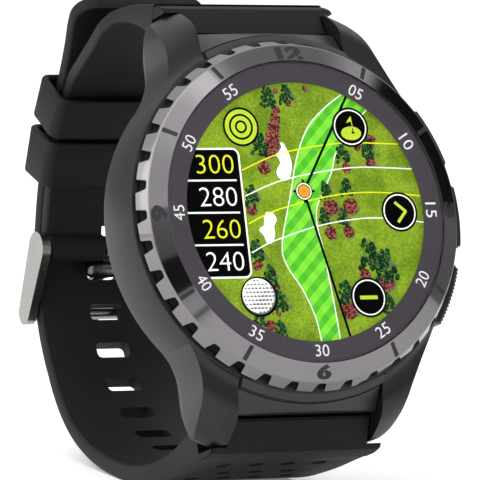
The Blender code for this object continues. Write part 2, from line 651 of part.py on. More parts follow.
def make_short_strap(mats):
    bm = bmesh.new()
    add_strap_band(bm, strap_path(SHORT_STRAP), -1.0, 18.0)
    strap = add_object("strap_12_short", bm, mats["strap"])
    finish_strap(strap, 1.0)
    y, z = BUCKLE_BAR
    bm = bmesh.new()
    add_lathe(bm, disc_profile(1.95, 0.05 - STRAP_HALF_NARROW, STRAP_HALF_NARROW - 0.05), 24,
              matrix=along_x(y, z))
    modify(strap, guide("add_bar_loop", bm), "UNION")
    bm = bmesh.new()
    add_lathe(bm, disc_profile(BAR_R + 0.12, -20.0, 20.0), SMALL_TURN, matrix=along_x(y, z))
    modify(strap, guide("cut_buckle_bar_bore", bm))
    bm = bmesh.new()
    add_block(bm, (-1.7, y - 6.0, z - 6.0), (1.7, y + 2.2, z + 6.0))
    modify(strap, guide("cut_tongue_notch", bm))


# ---------------------------------------------------------------- buckle and keepers
def buckle_plate_outline():
    """Two circles and the straight sides that touch both."""
    bar, end = Vector(BUCKLE_BAR), Vector(BUCKLE_END)
    axis = end - bar
    heading = math.degrees(math.atan2(axis.y, axis.x))
    open_angle = math.degrees(math.acos((BUCKLE_EYE_R - BUCKLE_END_R) / axis.length))
    outline = arc(BUCKLE_END, BUCKLE_END_R, heading - open_angle, heading + open_angle, 8)
    outline += arc(BUCKLE_BAR, BUCKLE_EYE_R, heading + open_angle, heading + 360.0 - open_angle, 14)
    return outline


def make_buckle(mats):
    origin = (0.0, *BUCKLE_BAR)
    outline = buckle_plate_outline()
    bm = bmesh.new()
    add_prism_x(bm, outline, BUCKLE_INNER_X, BUCKLE_OUTER_X)
    frame = add_object("buckle_frame", bm, mats["steel"], origin)
    bm = bmesh.new()
    add_prism_x(bm, outline, -BUCKLE_OUTER_X, -BUCKLE_INNER_X)
    modify(frame, guide("add_buckle_plate", bm), "UNION")
    bm = bmesh.new()
    reach = (BUCKLE_INNER_X + BUCKLE_OUTER_X) / 2.0
    add_lathe(bm, disc_profile(BUCKLE_END_R - 0.05, -reach, reach), SMALL_TURN, matrix=along_x(*BUCKLE_END))
    modify(frame, guide("add_end_bar", bm), "UNION")
    bm = bmesh.new()
    for end in (1.0, -1.0):
        hole = disc_profile(TIP_HOLE_R, end * (BUCKLE_INNER_X - 0.5), end * (BUCKLE_OUTER_X - 0.3))
        add_lathe(bm, hole, 12, matrix=along_x(*BUCKLE_BAR))
    bmesh.ops.recalc_face_normals(bm, faces=bm.faces)
    modify(frame, guide("cut_buckle_holes", bm))

    bar_y, bar_z = BUCKLE_BAR
    middle = [(bar_y - 1.2, bar_z - 0.9), (5.9, -63.8), (5.28, -65.0), (5.32, -66.3), (5.28, -67.4),
              (4.85, -68.6), (3.7, -69.7)]
    middle += [(1.9, -70.4), (0.1, -70.65), (-1.5, -70.45)]
    path = spline_points(middle, 2)
    bm = bmesh.new()
    sections = []
    for i, (y, z) in enumerate(path):
        along = (Vector(path[min(i + 1, len(path) - 1)]) - Vector(path[max(i - 1, 0)])).normalized()
        share = i / (len(path) - 1)
        depth = 0.55 - 0.15 * share
        half = 1.15 - 0.25 * share
        side = Vector((along.y, -along.x)) * depth
        corners = [(half, 1.0), (half, -1.0), (-half, -1.0), (-half, 1.0)]
        sections.append([(x, y + side.x * s, z + side.y * s) for x, s in corners])
    add_sections(bm, sections)
    tongue = add_object("buckle_tongue", bm, mats["steel"], origin)
    bm = bmesh.new()
    add_lathe(bm, disc_profile(1.7, -1.3, 1.3), SMALL_TURN, matrix=along_x(*BUCKLE_BAR))
    modify(tongue, guide("add_tongue_roll", bm), "UNION")
    bm = bmesh.new()
    root = [(0.0, -3.9), (0.7, -3.9), (1.2, -3.4), (1.2, 3.4), (0.7, 3.9), (0.0, 3.9)]
    add_lathe(bm, root, 16, matrix=along_x(*TONGUE_ROOT))
    modify(tongue, guide("add_tongue_root", bm), "UNION")
    bm = bmesh.new()
    add_lathe(bm, disc_profile(BAR_R + 0.1, -5.0, 5.0), SMALL_TURN, matrix=along_x(*BUCKLE_BAR))
    modify(tongue, guide("cut_tongue_bore", bm))


def make_keeper(name, start, end, mats):
    """Rectangular loop around both strap layers, from one middle point (y, z) to another."""
    a, b = Vector(start), Vector(end)
    along = (b - a).normalized()
    length = (b - a).length
    frame = Matrix.Translation((0.0, a.x, a.y)) @ Matrix.Rotation(math.atan2(along.y, along.x), 4, "X")
    outer = (STRAP_HALF_NARROW + 1.45, 3.7, 1.6, 0.0, length)
    inner = (STRAP_HALF_NARROW + 0.35, 2.85, 0.8, -2.0, length + 2.0)
    loops = []
    for half_x, half_d, radius, z0, z1 in (outer, inner):
        outline = arc((half_x - radius, half_d - radius), radius, 0.0, 90.0, 4)
        outline += [(-x, d) for x, d in reversed(outline)]
        outline += [(-x, -d) for x, d in outline]
        bm = bmesh.new()
        add_sections(bm, [[(x, s, d) for x, d in outline] for s in (z0, z1)])
        bmesh.ops.transform(bm, matrix=frame, verts=bm.verts)
        loops.append(bm)
    keeper = add_object(name, loops[0], mats["strap"])
    modify(keeper, guide("cut_" + name, loops[1]))


# ---------------------------------------------------------------- placing
def stand_on_floor(watch):
    """Moves the watch so that its lowest point is on z = 0 and it is centred in x and y."""
    bpy.context.view_layer.update()
    depsgraph = bpy.context.evaluated_depsgraph_get()
    low = Vector((math.inf,) * 3)
    high = -low
    for obj in watch.children:
        if obj.hide_render:
            continue
        shape = obj.evaluated_get(depsgraph)
        mesh = shape.to_mesh()
        for vertex in mesh.vertices:
            point = shape.matrix_world @ vertex.co
            low = Vector(map(min, low, point))
            high = Vector(map(max, high, point))
        shape.to_mesh_clear()
    watch.location -= Vector(((low.x + high.x) / 2.0, (low.y + high.y) / 2.0, low.z))
    bpy.context.view_layer.update()


def main():
    for obj in list(bpy.data.objects):
        bpy.data.objects.remove(obj, do_unlink=True)
    watch = bpy.data.objects.new("watch", None)
    bpy.context.scene.collection.objects.link(watch)
    watch.rotation_euler = (math.pi / 2.0 - LEAN, 0.0, 0.0)

    mats = make_materials()
    make_case(mats)
    make_end_covers(mats)
    make_bezel(mats)
    make_face(mats)
    make_inner_parts(mats)
    for name, angle in BUTTON_ANGLES.items():
        make_button(name, angle, mats)
    make_back(mats)
    make_spring_bar("lug_bar_12", LUG_BAR_Y, LUG_BAR_Z, 8.3, 12.4, mats)
    make_spring_bar("lug_bar_6", -LUG_BAR_Y, LUG_BAR_Z, 8.3, 12.4, mats)
    make_spring_bar("buckle_bar", *BUCKLE_BAR, 8.0, 11.6, mats)
    make_long_strap(mats)
    make_short_strap(mats)
    make_buckle(mats)
    make_keeper("keeper_fixed", (18.3, -59.75), (24.0, -55.85), mats)
    make_keeper("keeper_free", (24.95, -55.1), (29.5, -50.8), mats)
    stand_on_floor(watch)


main()
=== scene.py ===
"""Looks for the golf GPS watch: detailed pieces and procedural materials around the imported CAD.

Shapes are written in the watch's own millimetres (x to 3 o'clock, y to 12 o'clock, z out of the
face, z = 0 inside the cover glass) and placed with the matrix WATCH.
"""

import json
import math
import random

import bmesh
import bpy
from mathutils import Matrix, Vector


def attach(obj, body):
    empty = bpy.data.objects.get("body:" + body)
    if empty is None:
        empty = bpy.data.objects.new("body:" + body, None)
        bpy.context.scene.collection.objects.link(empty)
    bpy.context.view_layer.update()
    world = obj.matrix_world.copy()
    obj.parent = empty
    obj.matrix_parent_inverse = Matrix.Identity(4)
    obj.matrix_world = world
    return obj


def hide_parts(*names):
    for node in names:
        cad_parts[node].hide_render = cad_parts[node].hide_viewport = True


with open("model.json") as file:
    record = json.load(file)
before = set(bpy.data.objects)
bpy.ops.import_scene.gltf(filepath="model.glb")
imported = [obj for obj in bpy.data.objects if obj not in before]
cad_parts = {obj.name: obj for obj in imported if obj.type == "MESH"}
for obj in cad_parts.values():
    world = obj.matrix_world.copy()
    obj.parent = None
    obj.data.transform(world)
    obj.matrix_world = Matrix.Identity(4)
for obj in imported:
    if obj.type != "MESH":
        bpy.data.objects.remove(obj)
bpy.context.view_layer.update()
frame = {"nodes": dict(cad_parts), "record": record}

MM = 0.001
LENS_TOP_Z = 0.15
SCREEN_Z = -0.75                   # top of the display
PRINT_Z = -0.17                    # top of the minute ring, right under the cover glass
SCREEN_R = 17.93
MAP_R = 18.5                       # the display runs on a little under the ring
BEZEL_BORE_R = 20.85
BEZEL_FACE_R = 23.45
BEZEL_R = 24.4
BEZEL_TOP_Z = 0.3
BEZEL_EDGE_Z = -0.8
BEZEL_SKIRT_Z = -2.8
NOTCHES = 36
NOTCH_HALF = 0.66
NOTCH_FLARE = 0.30
NOTCH_CORNER_R = 0.42
NOTCH_DEPTH = 0.62
NOTCH_DROP = 0.30                  # from the bezel's edge down to a notch's top
CASE_R = 24.7
CASE_TOP_Z = -3.3
CASE_CHAMFER_Z = -12.2
CASE_BOTTOM_Z = -14.2
CASE_FOOT_SCALE = 0.952
CASE_COLLAR = (22.6, -2.6)         # radius and top of the rim inside the bezel
CASE_BORE_R = 20.1
BACK_OPENING_R = 18.8
BACK_SEAT_R = 23.1
SCREW_CIRCLE_R = 21.1
COVER_POCKET_R = 22.9
COVER_FLOOR_Z = -9.2
PUSHER_ANGLES = {"upper": 26.0, "centre": 0.0, "lower": -26.0}
PUSHER_Z = -6.6
LUG_GAP = 22.0
LUG_OUTER_X = 16.0
LUG_FILLET_R = 10.0
LUG_BAR = (27.7, -12.1)            # (|y|, z)
BUCKLE_BAR = (8.45, -61.7)         # (y, z)
BUCKLE_END = (0.15, -68.9)
BUCKLE_FOOT = (0.25, -68.1)        # middle of the side plates' round foot
BUCKLE_FOOT_R = 1.75
BUCKLE_HEAD_R = 2.45
TONGUE_ROOT = (5.5, -63.1)
BAR_BORE_R = 1.02
SLOT_PITCH = 6.2
SLOT_HALF = (2.65, 1.2)
SLOT_CORNER_R = 0.7
DIMPLE_ROWS = 4
DIMPLE_START = 4.4                 # distance along the strap to the first row
DIMPLE_PITCH = 5.0
LAYER = 0.012                      # height of one printed layer on the screen

CAMERA_EYE = (-321.9, -132.7, 602.9)
CAMERA_AIM = (-10.66, -3.88, 0.0)
CAMERA_ROLL = -6.28
CAMERA_LENS = 385.8
KEY_PLACE = (-500.0, 500.0, 350.0)
KEY_AIM = (0.0, 0.0, -20.0)
KEY_SIZE = 1.3
KEY_POWER = 5.1
FLOOR_HALF = 6.0                   # metres
# Soft boxes and dark flags around the set, in the row frame: direction, cosine of the angle where
# the even core ends, cosine where the soft edge ends, and what a box adds or a flag leaves.
SOFT_BOXES = [
    ((-0.08, -0.53, 0.84), 0.985, 0.93, 0.25),
    ((-1.0, 0.1, 0.1), 0.95, 0.30, 0.5),
    ((-0.955, 0.248, 0.116), 0.97, 0.80, 1.3),
    ((-0.20, -0.976, 0.08), 0.9985, 0.9965, 0.7),
]
FLAGS = [
    ((0.45, -0.77, 0.45), 0.988, 0.975, 0.02),
    ((0.87, -0.147, 0.47), 0.980, 0.962, 0.0),
    ((0.42, -0.235, 0.876), 0.985, 0.935, 0.40),
    ((-0.262, -0.945, 0.194), 0.9968, 0.9952, 0.01),
    ((-0.30, -0.84, 0.44), 0.970, 0.90, 0.55),
    ((-0.20, -0.64, 0.74), 0.985, 0.93, 0.40),
]


def watch_matrix():
    """From watch millimetres to the row frame, read from the glass mount of the record."""
    glass = next(m for m in frame["record"]["mounts"] if m["name"] == "dial_glass")
    out = Vector(glass["axis"]).normalized()
    right = Vector((1.0, 0.0, 0.0))
    up = out.cross(right)
    origin = Vector(glass["pos_m"]) - out * LENS_TOP_Z * MM
    turn = Matrix((right, up, out)).transposed().to_4x4()
    return Matrix.Translation(origin) @ turn @ Matrix.Scale(MM, 4)


WATCH = watch_matrix()
DIAL_UP = (WATCH.to_3x3() @ Vector((0.0, 1.0, 0.0))).normalized()


# ---------------------------------------------------------------- materials
def srgb(r, g, b):
    """Linear colour from 0-255 display values."""
    def one(v):
        v /= 255.0
        return v / 12.92 if v <= 0.04045 else ((v + 0.055) / 1.055) ** 2.4
    return one(r), one(g), one(b)


class Nodes:
    """Short forms for building the node tree of a material or world."""

    def __init__(self, owner):
        owner.use_nodes = True
        self.owner = owner
        self.tree = owner.node_tree
        self.shader = self.tree.nodes.get("Principled BSDF")

    def add(self, kind, *values, **settings):
        """A node with named settings or inputs, and its first inputs fed in order."""
        node = self.tree.nodes.new("ShaderNode" + kind)
        for key, value in settings.items():
            if hasattr(node, key):
                setattr(node, key, value)
            else:
                self.feed(value, node.inputs[key.replace("_", " ")])
        for value, socket in zip(values, node.inputs):
            self.feed(value, socket)
        return node

    def feed(self, value, socket):
        if isinstance(value, bpy.types.NodeSocket):
            self.tree.links.new(value, socket)
        elif isinstance(value, tuple) and socket.type == "RGBA":
            socket.default_value = (*value, 1.0)
        else:
            socket.default_value = value

    def shade(self, **inputs):
        for key, value in inputs.items():
            self.feed(value, self.shader.inputs[key.replace("_", " ")])

    def shade_as_screen(self, colour, glow):
        """A colour that is mostly its own light."""
        self.shade(Base_Color=colour, Emission_Color=colour, Emission_Strength=glow)
        self.shade(Roughness=0.5, Specular_IOR_Level=0.05)

    def position(self):
        return self.add("TexCoord").outputs["Object"]

    def noise(self, size_mm, detail=3.0, roughness=0.55):
        """Noise whose blobs are about size_mm across."""
        scale = 1.0 / (size_mm * MM)
        node = self.add("TexNoise", self.position(), Scale=scale, Detail=detail, Roughness=roughness)
        return node.outputs["Fac"]

    def ramp(self, fac, stops):
        node = self.add("ValToRGB", fac)
        elements = node.color_ramp.elements
        while len(elements) < len(stops):
            elements.new(0.5)
        for element, (place, colour) in zip(elements, stops):
            element.position = place
            element.color = (*colour, 1.0)
        return node.outputs["Color"]

    def mottle(self, fac, colour, vary):
        dark = tuple(c * (1.0 - vary) for c in colour)
        light = tuple(min(1.0, c * (1.0 + vary)) for c in colour)
        return self.ramp(fac, [(0.3, dark), (0.7, light)])

    def spread(self, value, span, low, high, curve="LINEAR"):
        """Maps the given span of a value onto low to high."""
        node = self.add("MapRange", value, *span, low, high, interpolation_type=curve)
        return node.outputs["Result"]

    def math(self, operation, *values):
        return self.add("Math", *values, operation=operation).outputs["Value"]

    def dot(self, vector, direction):
        return self.add("VectorMath", vector, direction, operation="DOT_PRODUCT").outputs["Value"]

    def bump(self, height, distance_mm):
        node = self.add("Bump", Height=height, Strength=1.0, Distance=distance_mm * MM)
        self.shade(Normal=node.outputs["Normal"])


def new_material(name):
    return Nodes(bpy.data.materials.new(name))


def surface(name, colour, roughness, vary=0.12, grain_mm=0.6, bump_mm=0.0, **inputs):
    """A solid finish with a little mottling in colour, roughness and, if asked, height."""
    n = new_material(name)
    grain = n.noise(grain_mm)
    rough = n.spread(grain, (0.3, 0.7), roughness * 0.88, min(1.0, roughness * 1.12))
    n.shade(Base_Color=n.mottle(n.noise(6.0), colour, vary), Roughness=rough, **inputs)
    if bump_mm:
        n.bump(grain, bump_mm)
    return n.owner


def display_ink(name, colour, glow=0.55, vary=0.05):
    """A colour on the screen, with a faint grain."""
    n = new_material(name)
    n.shade_as_screen(n.mottle(n.noise(0.25, detail=1.0), colour, vary), glow)
    return n.owner


def glass_material():
    """Cover glass: clear, with a mirror share that grows at a grazing look."""
    n = new_material("cover_glass")
    edge = n.add("Fresnel", IOR=1.28).outputs["Fac"]
    clear = n.add("BsdfTransparent").outputs["BSDF"]
    mirror = n.add("BsdfGlossy", Roughness=0.03).outputs["BSDF"]
    mix = n.add("MixShader", edge, clear, mirror)
    n.feed(mix.outputs["Shader"], n.tree.nodes["Material Output"].inputs["Surface"])
    n.tree.nodes.remove(n.shader)
    return n.owner


def grass_material():
    n = new_material("screen_grass")
    greens = [(0.30, srgb(106, 134, 34)), (0.5, srgb(138, 167, 48)), (0.72, srgb(162, 190, 66))]
    blades = n.ramp(n.noise(0.35, detail=4.0, roughness=0.7), greens)
    tints = [(0.35, srgb(205, 215, 190)), (0.65, srgb(255, 255, 235))]
    fields = n.ramp(n.noise(3.5, detail=2.0), tints)
    mix = n.add("Mix", 1.0, data_type="RGBA", blend_type="MULTIPLY")
    n.feed(blades, mix.inputs[6])
    n.feed(fields, mix.inputs[7])
    n.shade_as_screen(mix.outputs[2], 0.6)
    return n.owner


def fairway_material():
    """Mown grass: slanting bands crossed by a fainter second set."""
    n = new_material("screen_fairway")
    up = n.dot(n.position(), DIAL_UP)
    across = n.dot(n.position(), Vector((1.0, 0.0, 0.0)))
    total = 0.0
    for slope, pitch, weight in ((1.1, 1.5, 0.2), (-1.0, 1.38, 0.8)):
        wave = n.math("PINGPONG", n.math("MULTIPLY_ADD", across, slope, up), pitch * MM)
        step = n.math("GREATER_THAN", wave, pitch * MM / 2.0)
        total = n.math("MULTIPLY_ADD", step, weight, total)
    greens = [(0.0, srgb(84, 184, 50)), (0.2, srgb(94, 194, 52)), (0.8, srgb(122, 216, 60)),
              (1.0, srgb(134, 226, 68))]
    n.shade_as_screen(n.ramp(total, greens), 0.6)
    return n.owner


GUNMETAL = surface("gunmetal_coat", (0.029, 0.029, 0.032), 0.36, Metallic=0.8, bump_mm=0.004, grain_mm=0.2)
BEZEL = surface("bezel_polish", (0.205, 0.195, 0.205), 0.06, Metallic=0.97, vary=0.03, grain_mm=0.3)
BEZEL_MARK = surface("bezel_marks", (0.026, 0.024, 0.027), 0.5, Specular_IOR_Level=0.25)
# Near-black, nearly matt: painted shade, laid into the bezel's notches and the strap's dimples where shade
# falls
PAINTED_SHADE = surface("painted_shade_dark", (0.004, 0.004, 0.005), 0.6, Specular_IOR_Level=0.06)
COVER = surface("end_cover_satin", (0.026, 0.025, 0.028), 0.36, Metallic=0.35, bump_mm=0.004, grain_mm=0.2)
RING = surface("minute_ring", srgb(98, 91, 99), 0.45, vary=0.04, Specular_IOR_Level=0.2)
RUBBER = surface("silicone_strap", (0.0062, 0.0058, 0.0078), 0.6, bump_mm=0.012, grain_mm=0.25,
                 Specular_IOR_Level=0.2)
SEAL = surface("sealing_rubber", (0.012, 0.012, 0.012), 0.7)
STEEL = surface("polished_steel", (0.34, 0.33, 0.315), 0.24, Metallic=1.0, vary=0.05)
# The buckle's steel made darker for the tongue: painted shade for the dark strap it reflects
SHADED_TONGUE_STEEL = surface("tongue_steel_painted_shade", (0.15, 0.142, 0.135), 0.28, Metallic=1.0, vary=0.06)
BACK_STEEL = surface("brushed_back", (0.42, 0.41, 0.40), 0.32, Metallic=1.0, vary=0.06, bump_mm=0.003)
BUTTON = surface("button_black", (0.012, 0.012, 0.013), 0.38, Metallic=0.2, grain_mm=0.2)
GOLD = surface("gold_contacts", (0.83, 0.60, 0.24), 0.25, Metallic=1.0)
PLASTIC = surface("inner_plastic", (0.03, 0.03, 0.033), 0.5)
BOARD = surface("board_green", (0.012, 0.09, 0.045), 0.4, vary=0.3)
TIN = surface("tinned_sheet", (0.60, 0.60, 0.58), 0.3, Metallic=1.0)
CERAMIC = surface("antenna_ceramic", (0.60, 0.52, 0.40), 0.6)
FOIL = surface("battery_foil", (0.45, 0.46, 0.48), 0.35, Metallic=0.6)
TUNGSTEN = surface("sintered_tungsten", (0.30, 0.30, 0.31), 0.4, Metallic=1.0)
GLASS = glass_material()
GRASS = grass_material()
FAIRWAY = fairway_material()
INK_BLACK = display_ink("screen_black", (0.002, 0.002, 0.002), glow=0.0)
INK_WHITE = display_ink("screen_white", (0.90, 0.91, 0.90), glow=0.75)
INK_YELLOW = display_ink("screen_yellow", srgb(240, 240, 40))
INK_LIME = display_ink("screen_lime", srgb(196, 222, 60))
INK_ORANGE = display_ink("screen_orange", srgb(245, 160, 50))
INK_TREE = display_ink("screen_tree", srgb(22, 50, 28), vary=0.4)
INK_LEAF = display_ink("screen_leaf", srgb(66, 122, 58), vary=0.4)
INK_BUSH = display_ink("screen_bush", srgb(168, 92, 84), vary=0.35)
INK_TWIG = display_ink("screen_twig", srgb(78, 36, 32), vary=0.4)
INK_SHADE = display_ink("screen_shade", srgb(108, 120, 84), vary=0.25)
INK_GREY = display_ink("screen_grey", srgb(118, 120, 124))
# White print on the minute ring, with a glow of 0.55: the white is the print's own colour, the glow is
# painted light on a ring that is no screen
GLOWING_PRINT = display_ink("ring_print_white_painted_glow", (0.88, 0.88, 0.88), glow=0.55)


# ---------------------------------------------------------------- mesh helpers
def add_lathe(bm, profile, segments, matrix=None):
    """Adds a solid of revolution about z; the profile is a closed list of (r, z)."""
    rings = []
    for r, z in profile:
        if r == 0.0:
            rings.append([bm.verts.new((0.0, 0.0, z))])
            continue
        turns = [2.0 * math.pi * i / segments for i in range(segments)]
        rings.append([bm.verts.new((r * math.cos(a), r * math.sin(a), z)) for a in turns])
    for ring, following in zip(rings, rings[1:] + rings[:1]):
        if len(ring) == 1 and len(following) == 1:
            continue
        for i in range(segments):
            j = (i + 1) % segments
            if len(ring) == 1:
                bm.faces.new((ring[0], following[j], following[i]))
            elif len(following) == 1:
                bm.faces.new((ring[i], ring[j], following[0]))
            else:
                bm.faces.new((ring[i], ring[j], following[j], following[i]))
    if matrix is not None:
        bmesh.ops.transform(bm, matrix=matrix, verts=[v for ring in rings for v in ring])


def add_sections(bm, sections, closed=False, matrix=None):
    """Adds a solid through sections with the same number of points; closed makes a loop."""
    rings = [[bm.verts.new(p) for p in section] for section in sections]
    pairs = list(zip(rings, rings[1:]))
    if closed:
        pairs.append((rings[-1], rings[0]))
    else:
        bm.faces.new(rings[0])
        bm.faces.new(list(reversed(rings[-1])))
    count = len(rings[0])
    for ring, following in pairs:
        for i in range(count):
            j = (i + 1) % count
            bm.faces.new((ring[i], ring[j], following[j], following[i]))
    if matrix is not None:
        bmesh.ops.transform(bm, matrix=matrix, verts=[v for ring in rings for v in ring])


def add_plate(bm, outline, z0, z1, matrix=None):
    """Adds a prism along z with an outline of (x, y) points."""
    add_sections(bm, [[(x, y, z) for x, y in outline] for z in (z0, z1)], matrix=matrix)


def add_block(bm, low, high, matrix=None):
    (x0, y0, z0), (x1, y1, z1) = low, high
    add_plate(bm, [(x0, y0), (x1, y0), (x1, y1), (x0, y1)], z0, z1, matrix)


def cylinder(radius, start, end):
    """The profile of a plain cylinder from z = start to z = end."""
    return [(0.0, start), (radius, start), (radius, end), (0.0, end)]


def lathe(profile, segments, matrix=None):
    bm = bmesh.new()
    add_lathe(bm, profile, segments, matrix)
    return bm


def solid(sections, closed=False, matrix=None):
    bm = bmesh.new()
    add_sections(bm, sections, closed, matrix)
    return bm


def arc(centre, radius, start, end, steps):
    turns = [math.radians(start + (end - start) * i / steps) for i in range(steps + 1)]
    return [(centre[0] + radius * math.cos(a), centre[1] + radius * math.sin(a)) for a in turns]


def mirrored(points):
    """Points followed by their mirror image in x, which closes a symmetric outline."""
    return points + [(-x, y) for x, y in reversed(points)]


def round_section(half, depth, ease, steps=3):
    """A rectangle with round corners, as (across, out) points."""
    corner = arc((half - ease, depth - ease), ease, 0.0, 90.0, steps)
    return mirrored([(x, -d) for x, d in reversed(corner)] + corner)


def smooth_line(points, steps):
    """Catmull-Rom points through a list of tuples."""
    out = []
    padded = [points[0]] + list(points) + [points[-1]]
    for a, b, c, d in zip(padded, padded[1:], padded[2:], padded[3:]):
        for i in range(steps):
            t = i / steps
            out.append(tuple(
                0.5 * (2.0 * q + (r - p) * t + (2.0 * p - 5.0 * q + 4.0 * r - s) * t * t
                       + (3.0 * q - p - 3.0 * r + s) * t ** 3)
                for p, q, r, s in zip(a, b, c, d)))
    out.append(tuple(points[-1]))
    return out


def along_x(y, z):
    return Matrix.Translation((0.0, y, z)) @ Matrix.Rotation(math.radians(90.0), 4, "Y")


def radial(angle, z):
    turn = Matrix.Rotation(math.radians(angle), 4, "Z")
    return turn @ Matrix.Translation((0.0, 0.0, z)) @ Matrix.Rotation(math.radians(90.0), 4, "Y")


def about_z(angle):
    return Matrix.Rotation(math.radians(angle), 4, "Z")


def raw_object(name, bm):
    """An object in watch millimetres, not yet placed."""
    bmesh.ops.recalc_face_normals(bm, faces=bm.faces)
    mesh = bpy.data.meshes.new(name)
    bm.to_mesh(mesh)
    bm.free()
    obj = bpy.data.objects.new(name, mesh)
    bpy.context.scene.collection.objects.link(obj)
    return obj


def carve(obj, cutters, operation="DIFFERENCE"):
    """Applies exact Booleans with bmesh cutters and removes them."""
    for index, bm in enumerate(cutters):
        cutter = raw_object("%s_cut_%d" % (obj.name, index), bm)
        boolean = obj.modifiers.new("cut", "BOOLEAN")
        boolean.operation = operation
        boolean.solver = "EXACT"
        boolean.object = cutter
        bpy.context.view_layer.update()
        graph = bpy.context.evaluated_depsgraph_get()
        mesh = bpy.data.meshes.new_from_object(obj.evaluated_get(graph))
        obj.modifiers.clear()
        obj.data = mesh
        bpy.data.objects.remove(cutter)


def place(obj, mat, body="watch", slot=None, replaces=(), sharp=32.0):
    """Moves a finished millimetre object into the row frame, shades it and hangs it on its body."""
    obj.data.transform(WATCH)
    obj.data.shade_smooth()
    obj.data.set_sharp_from_angle(angle=math.radians(sharp))
    obj.data.materials.clear()
    obj.data.materials.append(mat)
    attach(obj, body)
    if replaces:
        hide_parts(*replaces)
    return obj


def piece(name, bm, mat, **options):
    return place(raw_object(name, bm), mat, **options)


def add_text(bm, text, centre, height, width, z0, z1, turn=0.0, bend=None, weight=0.0):
    """Adds raised figures of a given height and width; bend maps flat (x, y, z) onto a surface."""
    curve = bpy.data.curves.new("figures", "FONT")
    curve.body = text
    curve.resolution_u = 4
    curve.offset = weight
    obj = bpy.data.objects.new("figures", curve)
    bpy.context.scene.collection.objects.link(obj)
    bpy.context.view_layer.update()
    mesh = bpy.data.meshes.new_from_object(obj.evaluated_get(bpy.context.evaluated_depsgraph_get()))
    bpy.data.objects.remove(obj)
    bpy.data.curves.remove(curve)
    flat = bmesh.new()
    flat.from_mesh(mesh)
    bmesh.ops.remove_doubles(flat, verts=flat.verts, dist=1e-5)
    xs = [v.co.x for v in flat.verts]
    ys = [v.co.y for v in flat.verts]
    middle = ((min(xs) + max(xs)) / 2.0, (min(ys) + max(ys)) / 2.0)
    scale = (width / (max(xs) - min(xs)), height / (max(ys) - min(ys)))
    lifted = bmesh.ops.extrude_face_region(flat, geom=flat.faces[:])
    top = {e for e in lifted["geom"] if isinstance(e, bmesh.types.BMVert)}
    cos, sin = math.cos(math.radians(turn)), math.sin(math.radians(turn))
    for v in flat.verts:
        x = (v.co.x - middle[0]) * scale[0]
        y = (v.co.y - middle[1]) * scale[1]
        z = z1 if v in top else z0
        if bend:
            v.co = bend(x, y, z)
        else:
            v.co = (centre[0] + x * cos - y * sin, centre[1] + x * sin + y * cos, z)
    bmesh.ops.recalc_face_normals(flat, faces=flat.faces)
    flat.to_mesh(mesh)
    flat.free()
    bm.from_mesh(mesh)
    bpy.data.meshes.remove(mesh)


# ---------------------------------------------------------------- screen
def layer_z(level):
    """Bottom and top of a printed layer; a higher level covers the ones below it."""
    return SCREEN_Z + LAYER * level, SCREEN_Z + LAYER * (level + 0.8)


def clip_to_disc(points, radius=MAP_R - 0.03, sides=120):
    """Cuts a polygon back to the round screen."""
    for i in range(sides):
        a = 2.0 * math.pi * i / sides
        nx, ny = math.cos(a), math.sin(a)
        kept = []
        for p, q in zip(points, points[1:] + points[:1]):
            dp = radius - (p[0] * nx + p[1] * ny)
            dq = radius - (q[0] * nx + q[1] * ny)
            if dp >= 0.0:
                kept.append(p)
            if (dp >= 0.0) != (dq >= 0.0):
                t = dp / (dp - dq)
                kept.append((p[0] + (q[0] - p[0]) * t, p[1] + (q[1] - p[1]) * t))
        points = kept
        if len(points) < 3:
            return []
    return [p for p, q in zip(points, points[1:] + points[:1]) if math.dist(p, q) > 1e-4]


def add_patch(bm, points, level):
    points = clip_to_disc(list(points))
    if len(points) >= 3:
        add_plate(bm, points, *layer_z(level))


def add_stroke(bm, points, width, level):
    """A line of even width through points, cut at the screen's edge."""
    left, right = [], []
    for i, p in enumerate(points):
        a = Vector(points[max(i - 1, 0)])
        b = Vector(points[min(i + 1, len(points) - 1)])
        along = (b - a).normalized()
        side = Vector((-along.y, along.x)) * width / 2.0
        left.append(tuple(Vector(p) + side))
        right.append(tuple(Vector(p) - side))
    for i in range(len(points) - 1):
        quad = [left[i], left[i + 1], right[i + 1], right[i]]
        add_patch(bm, quad, level)


def add_disc(bm, centre, radius, level, steps=36, stretch=1.0):
    ring = arc((0.0, 0.0), radius, 0.0, 360.0, steps)[:-1]
    add_patch(bm, [(centre[0] + x, centre[1] + y * stretch) for x, y in ring], level)


def add_ring(bm, centre, outer, inner, level, steps=40):
    z0, z1 = layer_z(level)
    profile = [(inner, z0), (outer, z0), (outer, z1), (inner, z1)]
    add_lathe(bm, profile, steps, Matrix.Translation((centre[0], centre[1], 0.0)))


FAIRWAY_LEFT = [(7.6, 16.4), (4.9, 14.6), (2.3, 12.3), (0.7, 9.8), (-0.6, 6.8), (-1.6, 3.4), (-2.7, 0.0),
                (-3.7, -3.2), (-4.1, -5.6), (-3.4, -7.8), (-1.9, -10.2), (-0.8, -12.6), (0.0, -15.2),
                (0.4, -18.4)]
FAIRWAY_RIGHT = [(11.2, 14.2), (8.4, 11.6), (5.9, 8.4), (4.7, 5.4), (2.9, 2.4), (1.8, 0.2), (1.7, -2.2),
                 (2.2, -5.2), (2.6, -9.4), (3.0, -13.8), (3.3, -18.4)]
BUNKERS = [
    [(-2.9, 9.6), (-2.2, 9.7), (-1.6, 8.6), (-1.2, 7.2), (-1.3, 5.9), (-1.9, 4.6), (-2.9, 4.5), (-3.6, 5.2),
     (-3.5, 6.0), (-2.9, 6.9), (-3.2, 7.7), (-3.4, 8.6)],
    [(-5.9, 0.1), (-5.0, 0.0), (-4.4, -0.9), (-4.9, -1.9), (-4.9, -3.0), (-5.4, -4.1), (-6.2, -4.2),
     (-6.6, -3.2), (-7.2, -2.3), (-6.4, -1.7), (-6.3, -0.8)],
]
